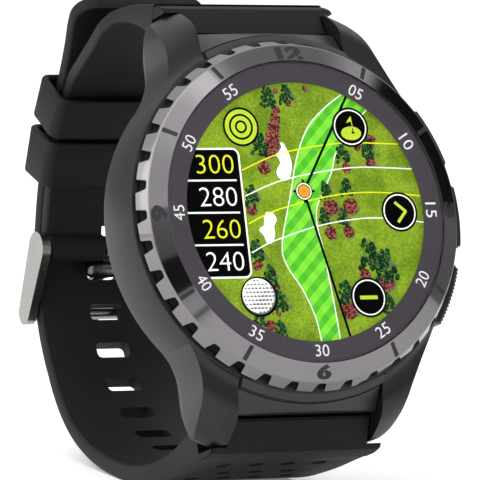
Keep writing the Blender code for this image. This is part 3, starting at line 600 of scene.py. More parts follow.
DISTANCE_ARCS = {
    "yellow": [[(-8.8, 5.9), (-4.6, 7.6), (-0.3, 8.7), (5.6, 9.5), (10.5, 9.6), (15.6, 9.4)],
               [(-8.7, -1.5), (-6.0, -0.3), (-3.3, 0.6), (2.4, 1.9), (7.6, 2.6), (13.0, 2.6), (18.2, 2.1)]],
    "white": [[(-8.8, 2.3), (-5.0, 3.8), (-1.4, 4.8), (4.6, 5.8), (9.7, 6.2), (17.4, 5.9)],
              [(-8.7, -5.5), (-6.2, -4.3), (-3.8, -3.5), (1.9, -1.9), (8.2, -1.0), (13.0, -1.0),
               (18.3, -1.6)]],
}
# Middle (x, y) and size of each plant on the map.
TREES = [(-3.8, 16.0, 1.2), (-0.9, 16.4, 1.1), (-5.8, 9.5, 1.4), (6.7, 8.2, 1.1), (10.8, 8.8, 1.2),
         (3.5, 3.0, 1.0), (6.7, 3.4, 1.0), (2.9, -0.7, 1.0), (5.8, -0.7, 1.0), (-7.9, 2.3, 1.2),
         (-8.0, -5.2, 1.2), (-6.4, -8.7, 1.2), (-5.2, -12.2, 1.2), (-8.7, -14.6, 1.1), (-5.7, -16.3, 1.1),
         (9.0, -6.0, 1.7), (11.5, -7.6, 1.8), (4.8, -11.2, 1.3), (11.2, -13.0, 1.3)]
BUSHES = [(-2.7, 14.2, 0.7), (-3.0, 13.0, 0.9), (-3.3, 11.8, 1.0), (-3.6, 10.6, 1.1), (-3.9, 9.3, 1.2),
          (-4.5, 8.2, 0.9), (-5.4, 6.2, 1.0), (-0.7, 15.2, 0.5), (-2.5, 16.9, 0.4), (2.1, 17.2, 0.4),
          (7.1, 6.2, 0.8), (11.0, 6.9, 0.8), (11.3, 10.0, 0.9), (9.2, 9.1, 0.6), (4.1, 0.6, 1.3),
          (7.1, 0.7, 1.2), (3.6, -2.9, 1.0), (6.4, -2.8, 0.9), (-8.0, 0.3, 0.8), (-8.0, -7.2, 0.8),
          (-5.6, -10.3, 0.6), (-5.7, -13.9, 0.4), (-7.2, -15.6, 0.9), (8.2, -8.9, 1.0), (11.4, -9.9, 1.4),
          (5.1, -13.6, 1.4)]


def add_leaf(bm, centre, size, level, dice, stretch=1.0):
    """A small blot with nine corners and an uneven edge."""
    points = []
    turn = dice.uniform(0.0, 360.0)
    for k in range(9):
        a = math.radians(turn + 40.0 * k)
        r = size * dice.uniform(0.62, 1.0)
        points.append((centre[0] + r * math.cos(a), centre[1] + r * stretch * math.sin(a)))
    add_patch(bm, points, level)


def make_tree(dark, light, shade, centre, size, dice):
    """A conifer: boughs widening downward, lighter tips, a grey shadow to its right."""
    x, y = centre
    for k in range(14):
        up = dice.uniform(-0.9, 0.8)
        side = 0.55 + dice.uniform(-0.5, 0.5) * (1.2 - up) * 0.8
        add_leaf(shade, (x + size * side, y + size * (up - 0.1)), 0.26 * size, 0.9 + 0.05 * k, dice)
    for k in range(34):
        up = 1.15 - 2.3 * (k + 0.5) / 34
        reach = 0.10 + 0.85 * math.sqrt((1.2 - up) / 2.3)
        middle = (x + size * dice.uniform(-reach, reach), y + size * up)
        add_leaf(dark, middle, 0.26 * size, 2.9 + 0.02 * k, dice, 1.2)
    for k in range(60):
        up = 1.2 - 2.35 * (k + 0.5) / 60
        reach = 0.10 + 0.90 * math.sqrt((1.21 - up) / 2.4)
        middle = (x + size * dice.uniform(-reach, reach), y + size * up)
        add_leaf(light, middle, 0.08 * size, 3.8, dice)


def make_bush(dark, light, shade, centre, size, dice):
    """A round bush: dark inside, pale leaf tips, a thin shadow."""
    add_leaf(shade, (centre[0] + 0.12, centre[1] - 0.1), size * 1.15, 1.9, dice)
    add_leaf(dark, centre, size * 1.08, 2.2, dice)
    add_leaf(dark, centre, size * 1.04, 2.4, dice)
    for k in range(int(46 * size * size) + 8):
        angle = dice.uniform(0.0, 2.0 * math.pi)
        far = 0.92 * size * math.sqrt(dice.random())
        spot = (centre[0] + far * math.cos(angle), centre[1] + far * math.sin(angle))
        add_leaf(light if k % 4 else dark, spot, dice.uniform(0.08, 0.17), 2.6 + 0.03 * (k % 8), dice)


def make_plants():
    dice = random.Random(7)
    inks = {"tree": INK_TREE, "leaf": INK_LEAF, "bush": INK_BUSH, "twig": INK_TWIG, "shade": INK_SHADE}
    beds = {name: bmesh.new() for name in inks}
    for x, y, size in BUSHES:
        make_bush(beds["twig"], beds["bush"], beds["shade"], (x, y), size, dice)
    for x, y, size in TREES:
        make_tree(beds["tree"], beds["leaf"], beds["shade"], (x, y), size, dice)
    for name, bm in beds.items():
        piece("map_" + name, bm, inks[name], slot="screen")


def make_map():
    panel = lathe(cylinder(MAP_R, -1.75, SCREEN_Z), 180)
    piece("map_grass", panel, GRASS, slot="screen", replaces=["display_panel"])

    left = smooth_line(FAIRWAY_LEFT, 6)
    right = smooth_line(FAIRWAY_RIGHT, 6)
    bm = bmesh.new()
    add_patch(bm, left + list(reversed(right)), 0.3)
    piece("map_fairway", bm, FAIRWAY, slot="screen")

    white = bmesh.new()
    add_stroke(white, left, 0.15, 1.9)
    add_stroke(white, right, 0.15, 1.9)
    for line in BUNKERS:
        add_patch(white, smooth_line(line + [line[0]], 5)[:-1], 1.7)
    yellow = bmesh.new()
    for name, ink, width in (("white", white, 0.16), ("yellow", yellow, 0.18)):
        for line in DISTANCE_ARCS[name]:
            add_stroke(ink, smooth_line(line, 6), width, 4.2)
    piece("map_white", white, INK_WHITE, slot="screen")
    piece("map_yellow", yellow, INK_YELLOW, slot="screen")
    make_plants()


BOX_RIGHT, BOX_HALF, BOX_CORNER = -9.0, 9.0, 1.1
BOX_ROWS = [(6.75, "300", "yellow"), (2.25, "280", "white"), (-2.2, "260", "yellow"),
            (-6.65, "240", "white")]
BOX_LINES = (4.5, 0.05, -4.4)


def box_outline(inset):
    """The list of distances: a block with two round corners, running off the screen's left side."""
    right = BOX_RIGHT - inset
    half = BOX_HALF - inset
    corner = BOX_CORNER - inset
    points = arc((right - corner, -half + corner), corner, -90.0, 0.0, 8)
    points += arc((right - corner, half - corner), corner, 0.0, 90.0, 8)
    return points + [(-20.0, half), (-20.0, -half)]


def make_distance_box():
    white, black, yellow = bmesh.new(), bmesh.new(), bmesh.new()
    add_patch(white, box_outline(0.0), 5.4)
    add_patch(black, box_outline(0.26), 6.4)
    for y in BOX_LINES:
        add_stroke(white, [(-MAP_R, y), (BOX_RIGHT - 0.85, y)], 0.24, 7.4)
    for y, text, ink in BOX_ROWS:
        target = white if ink == "white" else yellow
        add_text(target, text, (-12.85, y), 2.6, 5.6, *layer_z(7.4), weight=-0.013)
    piece("distance_white", white, INK_WHITE, slot="screen")
    piece("distance_yellow", yellow, INK_YELLOW, slot="screen")
    piece("distance_black", black, INK_BLACK, slot="screen")


AIM_LINE = [(8.6, 16.6), (0.2, 2.9), (4.95, -17.9)]
TARGET_ICON, FLAG_ICON, ARROW_ICON, MINUS_ICON = (-8.3, 11.9), (8.4, 11.8), (14.55, -0.1), (8.3, -11.95)
BALL_ICON = (-8.4, -11.5)


def add_landing_point(inks):
    """The aim line, and at its bend an orange spot with a white ring and four short ticks."""
    black = inks["black"]
    for ends in zip(AIM_LINE, AIM_LINE[1:]):
        add_stroke(black, list(ends), 0.36, 5.4)
    x, y = landing = AIM_LINE[1]
    add_disc(black, landing, 1.3, 6.4)
    add_disc(inks["white"], landing, 1.16, 7.4)
    add_disc(black, landing, 0.98, 8.4)
    add_disc(inks["orange"], landing, 0.86, 9.4)
    add_disc(black, landing, 0.09, 10.4, 10)
    for dx, dy in ((1.0, 0.0), (-1.0, 0.0), (0.0, 1.0), (0.0, -1.0)):
        tick = [(x + reach * dx, y + reach * dy) for reach in (1.2, 1.62)]
        add_stroke(black, tick, 0.34, 6.4)


def add_buttons(inks):
    """Four round buttons: target, flag on a green, arrow and minus."""
    black, lime = inks["black"], inks["lime"]
    add_disc(black, TARGET_ICON, 2.72, 6.4)
    add_disc(lime, TARGET_ICON, 2.42, 7.4)
    for radius in (1.66, 0.76):
        add_ring(black, TARGET_ICON, radius + 0.15, radius - 0.15, 8.4)
    for centre in (FLAG_ICON, ARROW_ICON, MINUS_ICON):
        add_disc(black, centre, 2.78, 6.4)
        add_ring(inks["white"], centre, 2.48, 2.30, 7.4)
    x, y = FLAG_ICON
    add_disc(lime, (x + 0.05, y - 0.85), 1.55, 7.4, 30, 0.62)
    add_stroke(lime, [(x + 0.2, y + 1.5), (x + 0.35, y - 0.1)], 0.12, 9.4)
    add_stroke(black, [(x + 0.33, y - 0.1), (x + 0.35, y - 0.7)], 0.12, 9.4)
    add_disc(black, (x + 0.35, y - 0.75), 0.24, 8.4, 16, 0.7)
    add_patch(lime, [(x + 0.15, y + 1.55), (x + 0.2, y + 0.8), (x - 0.6, y + 0.6)], 9.4)
    x, y = ARROW_ICON
    add_stroke(lime, [(x - 0.62, y + 1.35), (x + 1.0, y + 0.02)], 0.42, 7.4)
    add_stroke(lime, [(x + 1.0, y + 0.14), (x - 0.36, y - 1.45)], 0.42, 7.4)
    x, y = MINUS_ICON
    add_stroke(lime, [(x - 1.35, y), (x + 1.35, y)], 0.52, 7.4)


def add_ball(inks):
    """A golf ball: staggered dimples that shrink toward its edge."""
    x, y = BALL_ICON
    add_disc(inks["black"], (x + 0.04, y - 0.06), 2.78, 6.4)
    add_disc(inks["grey"], BALL_ICON, 2.5, 7.4)
    add_disc(inks["white"], (x - 0.08, y + 0.1), 2.38, 8.4)
    for row in range(-4, 5):
        for column in range(-4, 5):
            u = 0.225 * (column + 0.5 * (row % 2)) + 0.06 * row
            v = 0.225 * row
            if math.hypot(u, v) < 0.93:
                flat = math.sqrt(1.0 - u * u - v * v)
                size = 0.23 + 0.05 * (u - v > 0.1)
                spot = (x + 2.42 * u, y + 2.42 * v)
                add_disc(inks["grey"], spot, size * (0.6 + 0.4 * flat), 9.4, 10, 0.62)


def make_icons():
    finishes = {"black": INK_BLACK, "white": INK_WHITE, "lime": INK_LIME, "orange": INK_ORANGE,
                "grey": INK_GREY}
    inks = {name: bmesh.new() for name in finishes}
    add_landing_point(inks)
    add_buttons(inks)
    add_ball(inks)
    for name, bm in inks.items():
        piece("icon_" + name, bm, finishes[name], slot="screen")


# ---------------------------------------------------------------- minute ring and bezel
def make_minute_ring():
    inner, outer = SCREEN_R + 0.02, BEZEL_BORE_R - 0.02
    profile = [(inner, PRINT_Z - 0.05), (MAP_R + 0.02, PRINT_Z - 0.05), (MAP_R + 0.02, -1.15),
               (outer, -1.15), (outer, PRINT_Z), (inner, PRINT_Z)]
    piece("minute_ring", lathe(profile, 240), RING, slot="ring_print", replaces=["chapter_ring"])
    figures = bmesh.new()
    for minute in range(5, 60, 5):
        angle = math.radians(6.0 * minute)
        centre = (19.2 * math.sin(angle), 19.2 * math.cos(angle))
        turn = -6.0 * minute
        if 20 <= minute <= 40:
            turn += 180.0
        levels = (PRINT_Z + 0.002, PRINT_Z + 0.02)
        add_text(figures, "%02d" % minute, centre, 1.62, 2.1, *levels, turn, weight=-0.004)
    # the figures' glow is painted light
    piece("minute_figures", figures, GLOWING_PRINT, slot="ring_print")


def make_cover_glass():
    edge = BEZEL_BORE_R - 0.02
    profile = [(0.0, PRINT_Z + 0.05), (edge, PRINT_Z + 0.05), (edge, LENS_TOP_Z - 0.1),
               (edge - 0.1, LENS_TOP_Z), (0.0, LENS_TOP_Z)]
    piece("cover_glass", lathe(profile, 240), GLASS, slot="glass", replaces=["lens"])


def on_bezel(clock_angle, radius, flip=False):
    """Maps flat figures onto the bezel's sloping face, tops outward unless flipped."""
    slope = (BEZEL_EDGE_Z - BEZEL_TOP_Z) / (BEZEL_FACE_R - BEZEL_BORE_R)
    run = math.cos(math.atan(slope))

    def bend(x, y, z):
        if flip:
            x, y = -x, -y
        r = radius + y * run
        a = math.radians(clock_angle) + x / radius
        height = BEZEL_TOP_Z + (r - BEZEL_BORE_R) * slope
        return Vector((r * math.sin(a), r * math.cos(a), height + z))
    return bend


def make_bezel():
    """Ring with a sloping face and a notched skirt; rows near its edges keep the face's shading flat."""
    profile = [(BEZEL_BORE_R, BEZEL_TOP_Z - 0.16), (BEZEL_BORE_R + 0.05, BEZEL_TOP_Z - 0.06)]
    inner, outer = (BEZEL_BORE_R + 0.14, BEZEL_TOP_Z - 0.05), (BEZEL_FACE_R - 0.14, BEZEL_EDGE_Z + 0.07)
    for share in (0.0, 0.03, 0.97, 1.0):
        profile.append(tuple(a + (b - a) * share for a, b in zip(inner, outer)))
    profile += [(BEZEL_FACE_R - 0.03, BEZEL_EDGE_Z), (BEZEL_FACE_R + 0.04, BEZEL_EDGE_Z - 0.12)]
    profile += [(BEZEL_R - 0.04, BEZEL_SKIRT_Z + 0.12), (BEZEL_R - 0.1, BEZEL_SKIRT_Z)]
    profile += [(22.95, BEZEL_SKIRT_Z), (22.95, -2.0), (BEZEL_BORE_R, -2.0)]
    bezel = raw_object("bezel_ring", lathe(profile, 360))

    slope = math.atan2(BEZEL_R - BEZEL_FACE_R, BEZEL_EDGE_Z - BEZEL_SKIRT_Z)
    edge = Matrix.Translation((BEZEL_FACE_R, 0.0, BEZEL_EDGE_Z))
    lean = edge @ Matrix.Rotation(-slope, 4, "Y") @ edge.inverted()
    half, corner, flare = NOTCH_HALF, NOTCH_CORNER_R, NOTCH_FLARE
    top = arc((half - corner, BEZEL_EDGE_Z - NOTCH_DROP - corner), corner, 0.0, 90.0, 6)
    outline = mirrored([(half + flare, -5.0), (half + flare, -2.9)] + top)
    cutter = bmesh.new()
    for i in range(NOTCHES):
        sections = [[(x, y, z) for y, z in outline] for x in (BEZEL_FACE_R - NOTCH_DEPTH, BEZEL_R + 2.0)]
        add_sections(cutter, sections, matrix=about_z(360.0 * i / NOTCHES) @ lean)
    carve(bezel, [cutter])
    place(bezel, BEZEL, slot="bezel_gloss", replaces=["bezel"], sharp=28.0)

    # A dark sleeve just behind the notches' back walls: painted shade inside the notches
    sleeve = [(22.72, -0.95), (22.93, -0.95), (23.80, -2.78), (23.60, -2.78)]
    piece("bezel_notch_painted_shade", lathe(sleeve, 180), PAINTED_SHADE, slot="bezel_gloss")


def make_bezel_marks():
    """Raised figures at 12, 3, 6 and 9, bars at the other hours."""
    marks = bmesh.new()
    for hour in range(12):
        if hour % 3 == 0:
            text = str(hour or 12)
            bend = on_bezel(30.0 * hour, 22.15, flip=(hour == 6))
            size = (2.1, 1.85 * len(text) + 0.35)
            add_text(marks, text, (0.0, 0.0), *size, -0.02, 0.02, bend=bend, weight=0.06)
        else:
            bend = on_bezel(30.0 * hour, 22.25)
            corners = [(-0.31, -1.1), (0.31, -1.1), (0.31, 1.1), (-0.31, 1.1)]
            add_sections(marks, [[bend(x, y, z) for x, y in corners] for z in (-0.03, 0.03)])
    piece("bezel_marks", marks, BEZEL_MARK, slot="bezel_gloss")


# ---------------------------------------------------------------- case
def case_outline():
    """Plan of the case: round body and four lugs, straighter on the pusher side than on the left."""
    fillet_x = LUG_OUTER_X + LUG_FILLET_R
    fillet_y = math.sqrt((CASE_R + LUG_FILLET_R) ** 2 - fillet_x ** 2)
    meet = math.degrees(math.atan2(fillet_y, fillet_x))
    left = arc((0.0, 0.0), CASE_R, 0.0, meet, 36)
    left += arc((fillet_x, fillet_y), LUG_FILLET_R, 180.0 + meet, 180.0, 18)[1:]
    left += smooth_line([(16.0, 25.0), (15.9, 26.4), (15.5, 28.0), (14.7, 29.2), (13.2, 29.9),
                         (11.6, 30.0)], 4)
    right = arc((0.0, 0.0), CASE_R, 0.0, 31.0, 30)
    right += smooth_line([(20.8, 13.4), (19.9, 15.4), (18.9, 17.4), (17.9, 19.3), (16.9, 21.3),
                          (16.0, 23.2), (15.3, 25.1), (14.8, 26.8), (14.1, 28.4), (13.0, 29.5),
                          (11.6, 30.0)], 4)
    upper = right + [(-x, y) for x, y in reversed(left)]
    return upper + [(x, -y) for x, y in reversed(upper[1:-1])]


def lug_gaps():
    """Cutters between each pair of lugs, with a pocket for the end cover."""
    bm = bmesh.new()
    half = LUG_GAP / 2.0
    for side in (1.0, -1.0):
        sections = []
        for i in range(41):
            x = -half + LUG_GAP * i / 40
            upper = math.sqrt(COVER_POCKET_R ** 2 - x * x)
            lower = math.sqrt(CASE_R ** 2 - x * x)
            section = [(upper, 1.0), (33.0, 1.0), (33.0, -20.0), (lower, -20.0)]
            section += [(lower, COVER_FLOOR_Z), (upper, COVER_FLOOR_Z)]
            sections.append([(x, side * y, z) for y, z in section])
        add_sections(bm, sections)
    bmesh.ops.recalc_face_normals(bm, faces=bm.faces)
    return bm


def case_holes():
    """Stepped pusher bores, screw holes in the back and blind holes for the lug bars."""
    bm = bmesh.new()
    for angle in PUSHER_ANGLES.values():
        steps = [(0.0, 19.0), (1.85, 19.0), (1.85, 21.3), (0.95, 21.3), (0.95, 23.0), (0.0, 23.0)]
        add_lathe(bm, steps, 24, radial(angle, PUSHER_Z))
    for i in range(4):
        spot = about_z(45.0 + 90.0 * i) @ Matrix.Translation((SCREW_CIRCLE_R, 0.0, 0.0))
        add_lathe(bm, cylinder(0.62, -13.5, -11.0), 16, spot)
    for side in (1.0, -1.0):
        for end in (1.0, -1.0):
            tip = cylinder(0.6, end * 10.0, end * 13.4)
            add_lathe(bm, tip, 16, along_x(side * LUG_BAR[0], LUG_BAR[1]))
    bmesh.ops.recalc_face_normals(bm, faces=bm.faces)
    return bm


def make_case():
    """The plan drawn down to a smaller foot, turned to its front profile, bored and cut."""
    outline = case_outline()
    levels = [(0.0, 1.0), (CASE_CHAMFER_Z + 0.25, 1.0), (CASE_CHAMFER_Z + 0.05, 0.9985),
              (CASE_CHAMFER_Z - 0.15, 0.994), (CASE_BOTTOM_Z, CASE_FOOT_SCALE), (-20.0, CASE_FOOT_SCALE)]
    case = raw_object("case_shell", solid([[(x * k, y * k, z) for x, y in outline] for z, k in levels]))
    front = smooth_line([(24.75, -3.9), (25.4, -4.45), (26.6, -4.8), (28.1, -5.15), (29.3, -5.75),
                         (30.4, -6.95), (31.5, -8.75), (32.2, -10.3), (32.5, -12.1),
                         (31.2, CASE_BOTTOM_Z)], 5)
    rim_r, rim_z = CASE_COLLAR
    turned = [(0.0, rim_z), (rim_r, rim_z), (rim_r, CASE_TOP_Z), (24.35, CASE_TOP_Z),
              (24.6, CASE_TOP_Z - 0.1)]
    carve(case, [lathe(turned + front + [(0.0, CASE_BOTTOM_Z)], 240)], "INTERSECT")
    bore = [(0.0, 1.0), (CASE_BORE_R, 1.0), (CASE_BORE_R, -12.0), (BACK_OPENING_R, -12.0),
            (BACK_OPENING_R, -13.0), (BACK_SEAT_R, -13.0), (BACK_SEAT_R, -16.0), (0.0, -16.0)]
    pockets = bmesh.new()
    for angle in PUSHER_ANGLES.values():
        add_block(pockets, (22.3, -5.0, -9.0), (30.0, 5.0, -4.0), about_z(angle))
    bmesh.ops.recalc_face_normals(pockets, faces=pockets.faces)
    carve(case, [lathe(bore, 120), lug_gaps(), pockets, case_holes()])
    place(case, GUNMETAL, slot="gunmetal", replaces=["mid_case"], sharp=24.0)


def make_end_covers():
    """Filler between each pair of lugs: rim around the bezel, a groove and a sloping face."""
    half = LUG_GAP / 2.0 - 0.2
    for name, side in (("end_cover_12", 1.0), ("end_cover_6", -1.0)):
        sections = []
        for i in range(97):
            x = -half + 2.0 * half * i / 96
            inner = math.sqrt((COVER_POCKET_R + 0.25) ** 2 - x * x)
            rim = math.sqrt((CASE_R - 0.15) ** 2 - x * x)
            step = math.sqrt(25.5 ** 2 - x * x)
            edge_z = -6.3 - 0.9 * (x / half) ** 2
            face_z = -4.5 - 0.3 * (x / half) ** 2
            section = [(inner, CASE_TOP_Z), (rim, CASE_TOP_Z), (rim + 0.15, CASE_TOP_Z - 0.08)]
            section += [(step, -3.9), (step + 0.03, face_z), (step + 0.12, face_z - 0.1)]
            section += [(step + 0.22, face_z - 0.02), (26.3, edge_z + 0.12), (26.4, edge_z - 0.05)]
            section += [(26.4, -8.4), (25.6, COVER_FLOOR_Z + 0.25), (inner, COVER_FLOOR_Z + 0.25)]
            sections.append([(x, side * y, z) for y, z in section])
        piece(name + "_skin", solid(sections), COVER, slot="satin_black", replaces=[name], sharp=30.0)


# ---------------------------------------------------------------- strap
LONG_STRAP = [
    (-28.9, -14.5, 4.9), (-29.3, -18.2, 4.3), (-29.9, -22.6, 3.4), (-30.1, -27.2, 2.8),
    (-29.9, -32.2, 2.6), (-29.1, -37.3, 2.5), (-27.6, -42.4, 2.4), (-25.3, -48.2, 2.3),
    (-22.6, -53.3, 2.2), (-19.4, -57.7, 2.1), (-15.8, -61.0, 2.1), (-12.0, -63.4, 2.1),
    (-8.7, -64.9, 2.1), (-5.0, -65.95, 2.1), (-2.0, -66.45, 2.1), (1.2, -66.65, 2.1),
    (5.2, -66.2, 2.1), (9.65, -65.05, 2.1), (11.7, -64.2, 2.1), (18.15, -61.25, 2.1),
    (25.4, -56.45, 2.1), (30.95, -51.15, 2.1), (34.8, -48.0, 2.1), (37.7, -46.1, 2.1),
    (39.2, -44.6, 2.1), (40.3, -42.4, 2.1),
]
SHORT_STRAP = [
    (30.2, -14.5, 4.9), (31.9, -18.2, 3.3), (33.25, -22.3, 2.45), (33.85, -25.4, 2.05),
    (34.1, -28.0, 1.95), (33.8, -31.0, 2.05), (33.3, -33.4, 2.05), (32.3, -37.7, 2.1),
    (31.3, -42.6, 2.1), (29.55, -48.7, 2.1), (24.0, -54.5, 2.1), (16.95, -59.15, 2.1),
    (11.6, -61.65, 2.1), (8.9, -62.3, 1.9),
]
LUG_BLOCK_6 = [
    (26.9, -8.8), (29.0, -9.75), (31.0, -10.8), (31.35, -12.5), (31.4, -15.2),
    (28.9, -16.4), (26.2, -15.3), (25.3, -13.6), (25.3, -11.6), (26.1, -9.6),
]
LUG_BLOCK_12 = [
    (26.9, -8.8), (29.0, -9.75), (31.0, -10.8), (31.9, -12.7), (32.5, -15.0),
    (28.9, -16.4), (26.2, -15.3), (25.3, -13.6), (25.3, -11.6), (26.1, -9.6),
]
STRAP_HALF_WIDE = 12.75
STRAP_HALF_NARROW = 10.5
TAPER_START = 18.0
SHOULDER_FLARE = 0.3
SHOULDER_LENGTH = 8.0
KEEPER_HALF_WIDTH = STRAP_HALF_NARROW + 0.65
KEEPER_HALF_DEPTH = 3.35
KEEPER_SHIFT = -0.5                # the loops sit a little off the straps' middle


def strap_path(points, steps):
    """Stations: (centre y, centre z, outward normal, thickness, distance along)."""
    line = smooth_line(points, steps)
    stations = []
    travelled = 0.0
    for i, (y, z, thick) in enumerate(line):
        before = Vector(line[max(i - 1, 0)][:2])
        after = Vector(line[min(i + 1, len(line) - 1)][:2])
        along = (after - before).normalized()
        if i:
            travelled += (Vector((y, z)) - Vector(line[i - 1][:2])).length
        stations.append((y, z, Vector((along.y, -along.x)), thick, travelled))
    return stations


def half_width(travelled, taper):
    share = min(max((travelled - TAPER_START) / taper, 0.0), 1.0)
    flare = SHOULDER_FLARE * max(0.0, 1.0 - travelled / SHOULDER_LENGTH)
    return STRAP_HALF_WIDE + flare + (STRAP_HALF_NARROW - STRAP_HALF_WIDE) * share


def strap_band(stations, outward, taper, tip_radius=0.0):
    """Sweeps a rectangle with round edges along the stations."""
    end = stations[-1][4]
    sections = []
    for y, z, normal, thick, travelled in stations:
        half = half_width(travelled, taper)
        left = end - travelled
        if left < tip_radius:
            half -= tip_radius - math.sqrt(max(0.0, tip_radius ** 2 - (tip_radius - left) ** 2))
        out = normal * outward
        outline = round_section(half, thick / 2.0, 0.42)
        sections.append([(x, y + out.x * d, z + out.y * d) for x, d in outline])
    return solid(sections)


def lug_block(side):
    outline = LUG_BLOCK_12 if side > 0 else LUG_BLOCK_6
    half = STRAP_HALF_WIDE + SHOULDER_FLARE - 0.03
    bm = solid([[(x, side * y, z) for y, z in outline] for x in (-half, half)])
    bmesh.ops.bevel(bm, geom=bm.edges[:], offset=0.18, segments=2, affect="EDGES", clamp_overlap=True)
    return bm


def lug_clearance(side):
    """Cutters for the two lugs that stand beside the strap's block."""
    bm = bmesh.new()
    y0, y1 = sorted((side * 20.0, side * 30.35))
    for x0, x1 in ((10.7, 20.0), (-20.0, -10.7)):
        add_block(bm, (x0, y0, -14.6), (x1, y1, 0.0))
    return bm


def block_recesses(side):
    """Cutters for two recesses in the block's inner face."""
    bm = bmesh.new()
    y0, y1 = sorted((side * 24.8, side * 25.95))
    for x0, x1 in ((-7.3, -5.9), (-2.8, 2.25)):
        add_block(bm, (x0, y0, -17.0), (x1, y1, -8.0))
    return bm


def x_bore(y, z, radius):
    return lathe(cylinder(radius, -20.0, 20.0), 28, along_x(y, z))


def surface_frame(station, outward):
    """A matrix at the strap's outer face: x across, y along, z out of the face."""
    y, z, normal, thick, _ = station
    out = Vector((0.0, outward * normal.x, outward * normal.y))
    across = Vector((1.0, 0.0, 0.0))
    turn = Matrix((across, out.cross(across), out)).transposed().to_4x4()
    return Matrix.Translation(Vector((0.0, y, z)) + out * thick / 2.0) @ turn


def station_at(stations, distance):
    return min(stations, key=lambda s: abs(s[4] - distance))


def dimple_spots(stations, outward):
    """Staggered rows near the lug: how far across each dimple is, and the frame of its row."""
    for row in range(DIMPLE_ROWS):
        across = [-7.35, -2.45, 2.45, 7.35] if row % 2 == 0 else [-4.9, 0.0, 4.9]
        spot = surface_frame(station_at(stations, DIMPLE_START + DIMPLE_PITCH * row), outward)
        for x in across:
            yield x, spot


def dimples(stations, outward):
    """Cutters for shallow round hollows in the outer face."""
    bm = bmesh.new()
    for x, spot in dimple_spots(stations, outward):
        middle = spot @ Matrix.Translation((x, 0.0, 0.5))
        bmesh.ops.create_uvsphere(bm, u_segments=24, v_segments=16, radius=1.2, matrix=middle)
    return bm


def dimple_floors(stations, outward):
    """Dark discs just inside the dimples: painted shade on the hollows' floors."""
    bm = bmesh.new()
    disc = [(0.0, -0.26), (0.90, -0.26), (0.94, -0.20), (0.0, -0.20)]
    for x, spot in dimple_spots(stations, outward):
        add_lathe(bm, disc, 20, spot @ Matrix.Translation((x, 0.0, 0.0)))
    return bm


def slots(stations, middle):
    """Cutters for the row of slots, one of them where the buckle's tongue stands."""
    bm = bmesh.new()
    for i in range(-6, 5):
        spot = surface_frame(station_at(stations, middle + i * SLOT_PITCH), 1.0)
        add_plate(bm, round_section(*SLOT_HALF, SLOT_CORNER_R, 4), -4.0, 2.0, spot)
    return bm


def finish_strap(strap, node, side, fine, cuts):
    """Frees the lugs, bores the lug bar, presses the dimples and cuts what is special to a half."""
    bore = x_bore(side * LUG_BAR[0], LUG_BAR[1], BAR_BORE_R)
    carve(strap, [lug_clearance(side), block_recesses(side), bore] + cuts + [dimples(fine, -side)])
    place(strap, RUBBER, slot="silicone", replaces=[node])
    # dark discs in the dimples: painted shade
    shade_name = "dimple_floors_" + node.rsplit("_", 1)[1]
    piece(shade_name, dimple_floors(fine, -side), PAINTED_SHADE, slot="silicone")


def make_long_strap():
    stations = strap_path(LONG_STRAP, 8)
    fine = strap_path(LONG_STRAP, 24)
    strap = raw_object("strap_long", strap_band(stations, 1.0, 40.0, tip_radius=3.0))
    carve(strap, [lug_block(-1.0)], "UNION")
    tongue = min(stations, key=lambda s: abs(s[0] - 5.6) if s[1] < -60.0 else 99.0)[4]
    finish_strap(strap, "strap_6_long", -1.0, fine, [slots(fine, tongue)])


def make_short_strap():
    fine = strap_path(SHORT_STRAP, 24)
    strap = raw_object("strap_short", strap_band(strap_path(SHORT_STRAP, 8), -1.0, 18.0))
    y, z = BUCKLE_BAR
    half = STRAP_HALF_NARROW - 0.05
    loop = [(0.0, -half), (1.55, -half), (1.95, 0.4 - half), (1.95, half - 0.4), (1.55, half), (0.0, half)]
    carve(strap, [lug_block(1.0), lathe(loop, 40, along_x(y, z))], "UNION")
    notch = bmesh.new()
    add_block(notch, (-1.7, y - 6.0, z - 6.0), (1.7, y + 3.4, z + 6.0))
    finish_strap(strap, "strap_12_short", 1.0, fine, [x_bore(y, z, BAR_BORE_R), notch])


def make_keeper(name, start, end, body):
    """A rounded rectangular loop of band; start and end are (y, z) in the middle of the opening."""
    a, b = Vector(start), Vector(end)
    length = (b - a).length
    placing = Matrix.Translation((0.0, a.x, a.y))
    placing @= Matrix.Rotation(math.atan2(b.y - a.y, b.x - a.x), 4, "X")
    placing @= Matrix.Translation((0.0, 0.0, KEEPER_SHIFT))
    half_x, half_d, corner, ease = KEEPER_HALF_WIDTH, KEEPER_HALF_DEPTH, 0.8, 0.3
    sections = []
    for sx, sd, first in ((1, 1, 0.0), (-1, 1, 90.0), (-1, -1, 180.0), (1, -1, 270.0)):
        mx, md = sx * (half_x - corner), sd * (half_d - corner)
        for i in range(7):
            t = math.radians(first + 15.0 * i)
            out = Vector((math.cos(t), math.sin(t)))
            wall = 1.1 * abs(out.x) + 0.85 * (1.0 - abs(out.x))
            outline = [(0.0, ease), (ease, 0.0), (wall - ease, 0.0), (wall - 0.1, 0.1), (wall, ease)]
            outline += [(w, length - s) for w, s in reversed(outline)]
            sections.append([(mx + out.x * (corner + w), s, md + out.y * (corner + w)) for w, s in outline])
    band = solid(sections, closed=True, matrix=placing)
    piece(name + "_band", band, RUBBER, slot="silicone", replaces=[name], body=body)


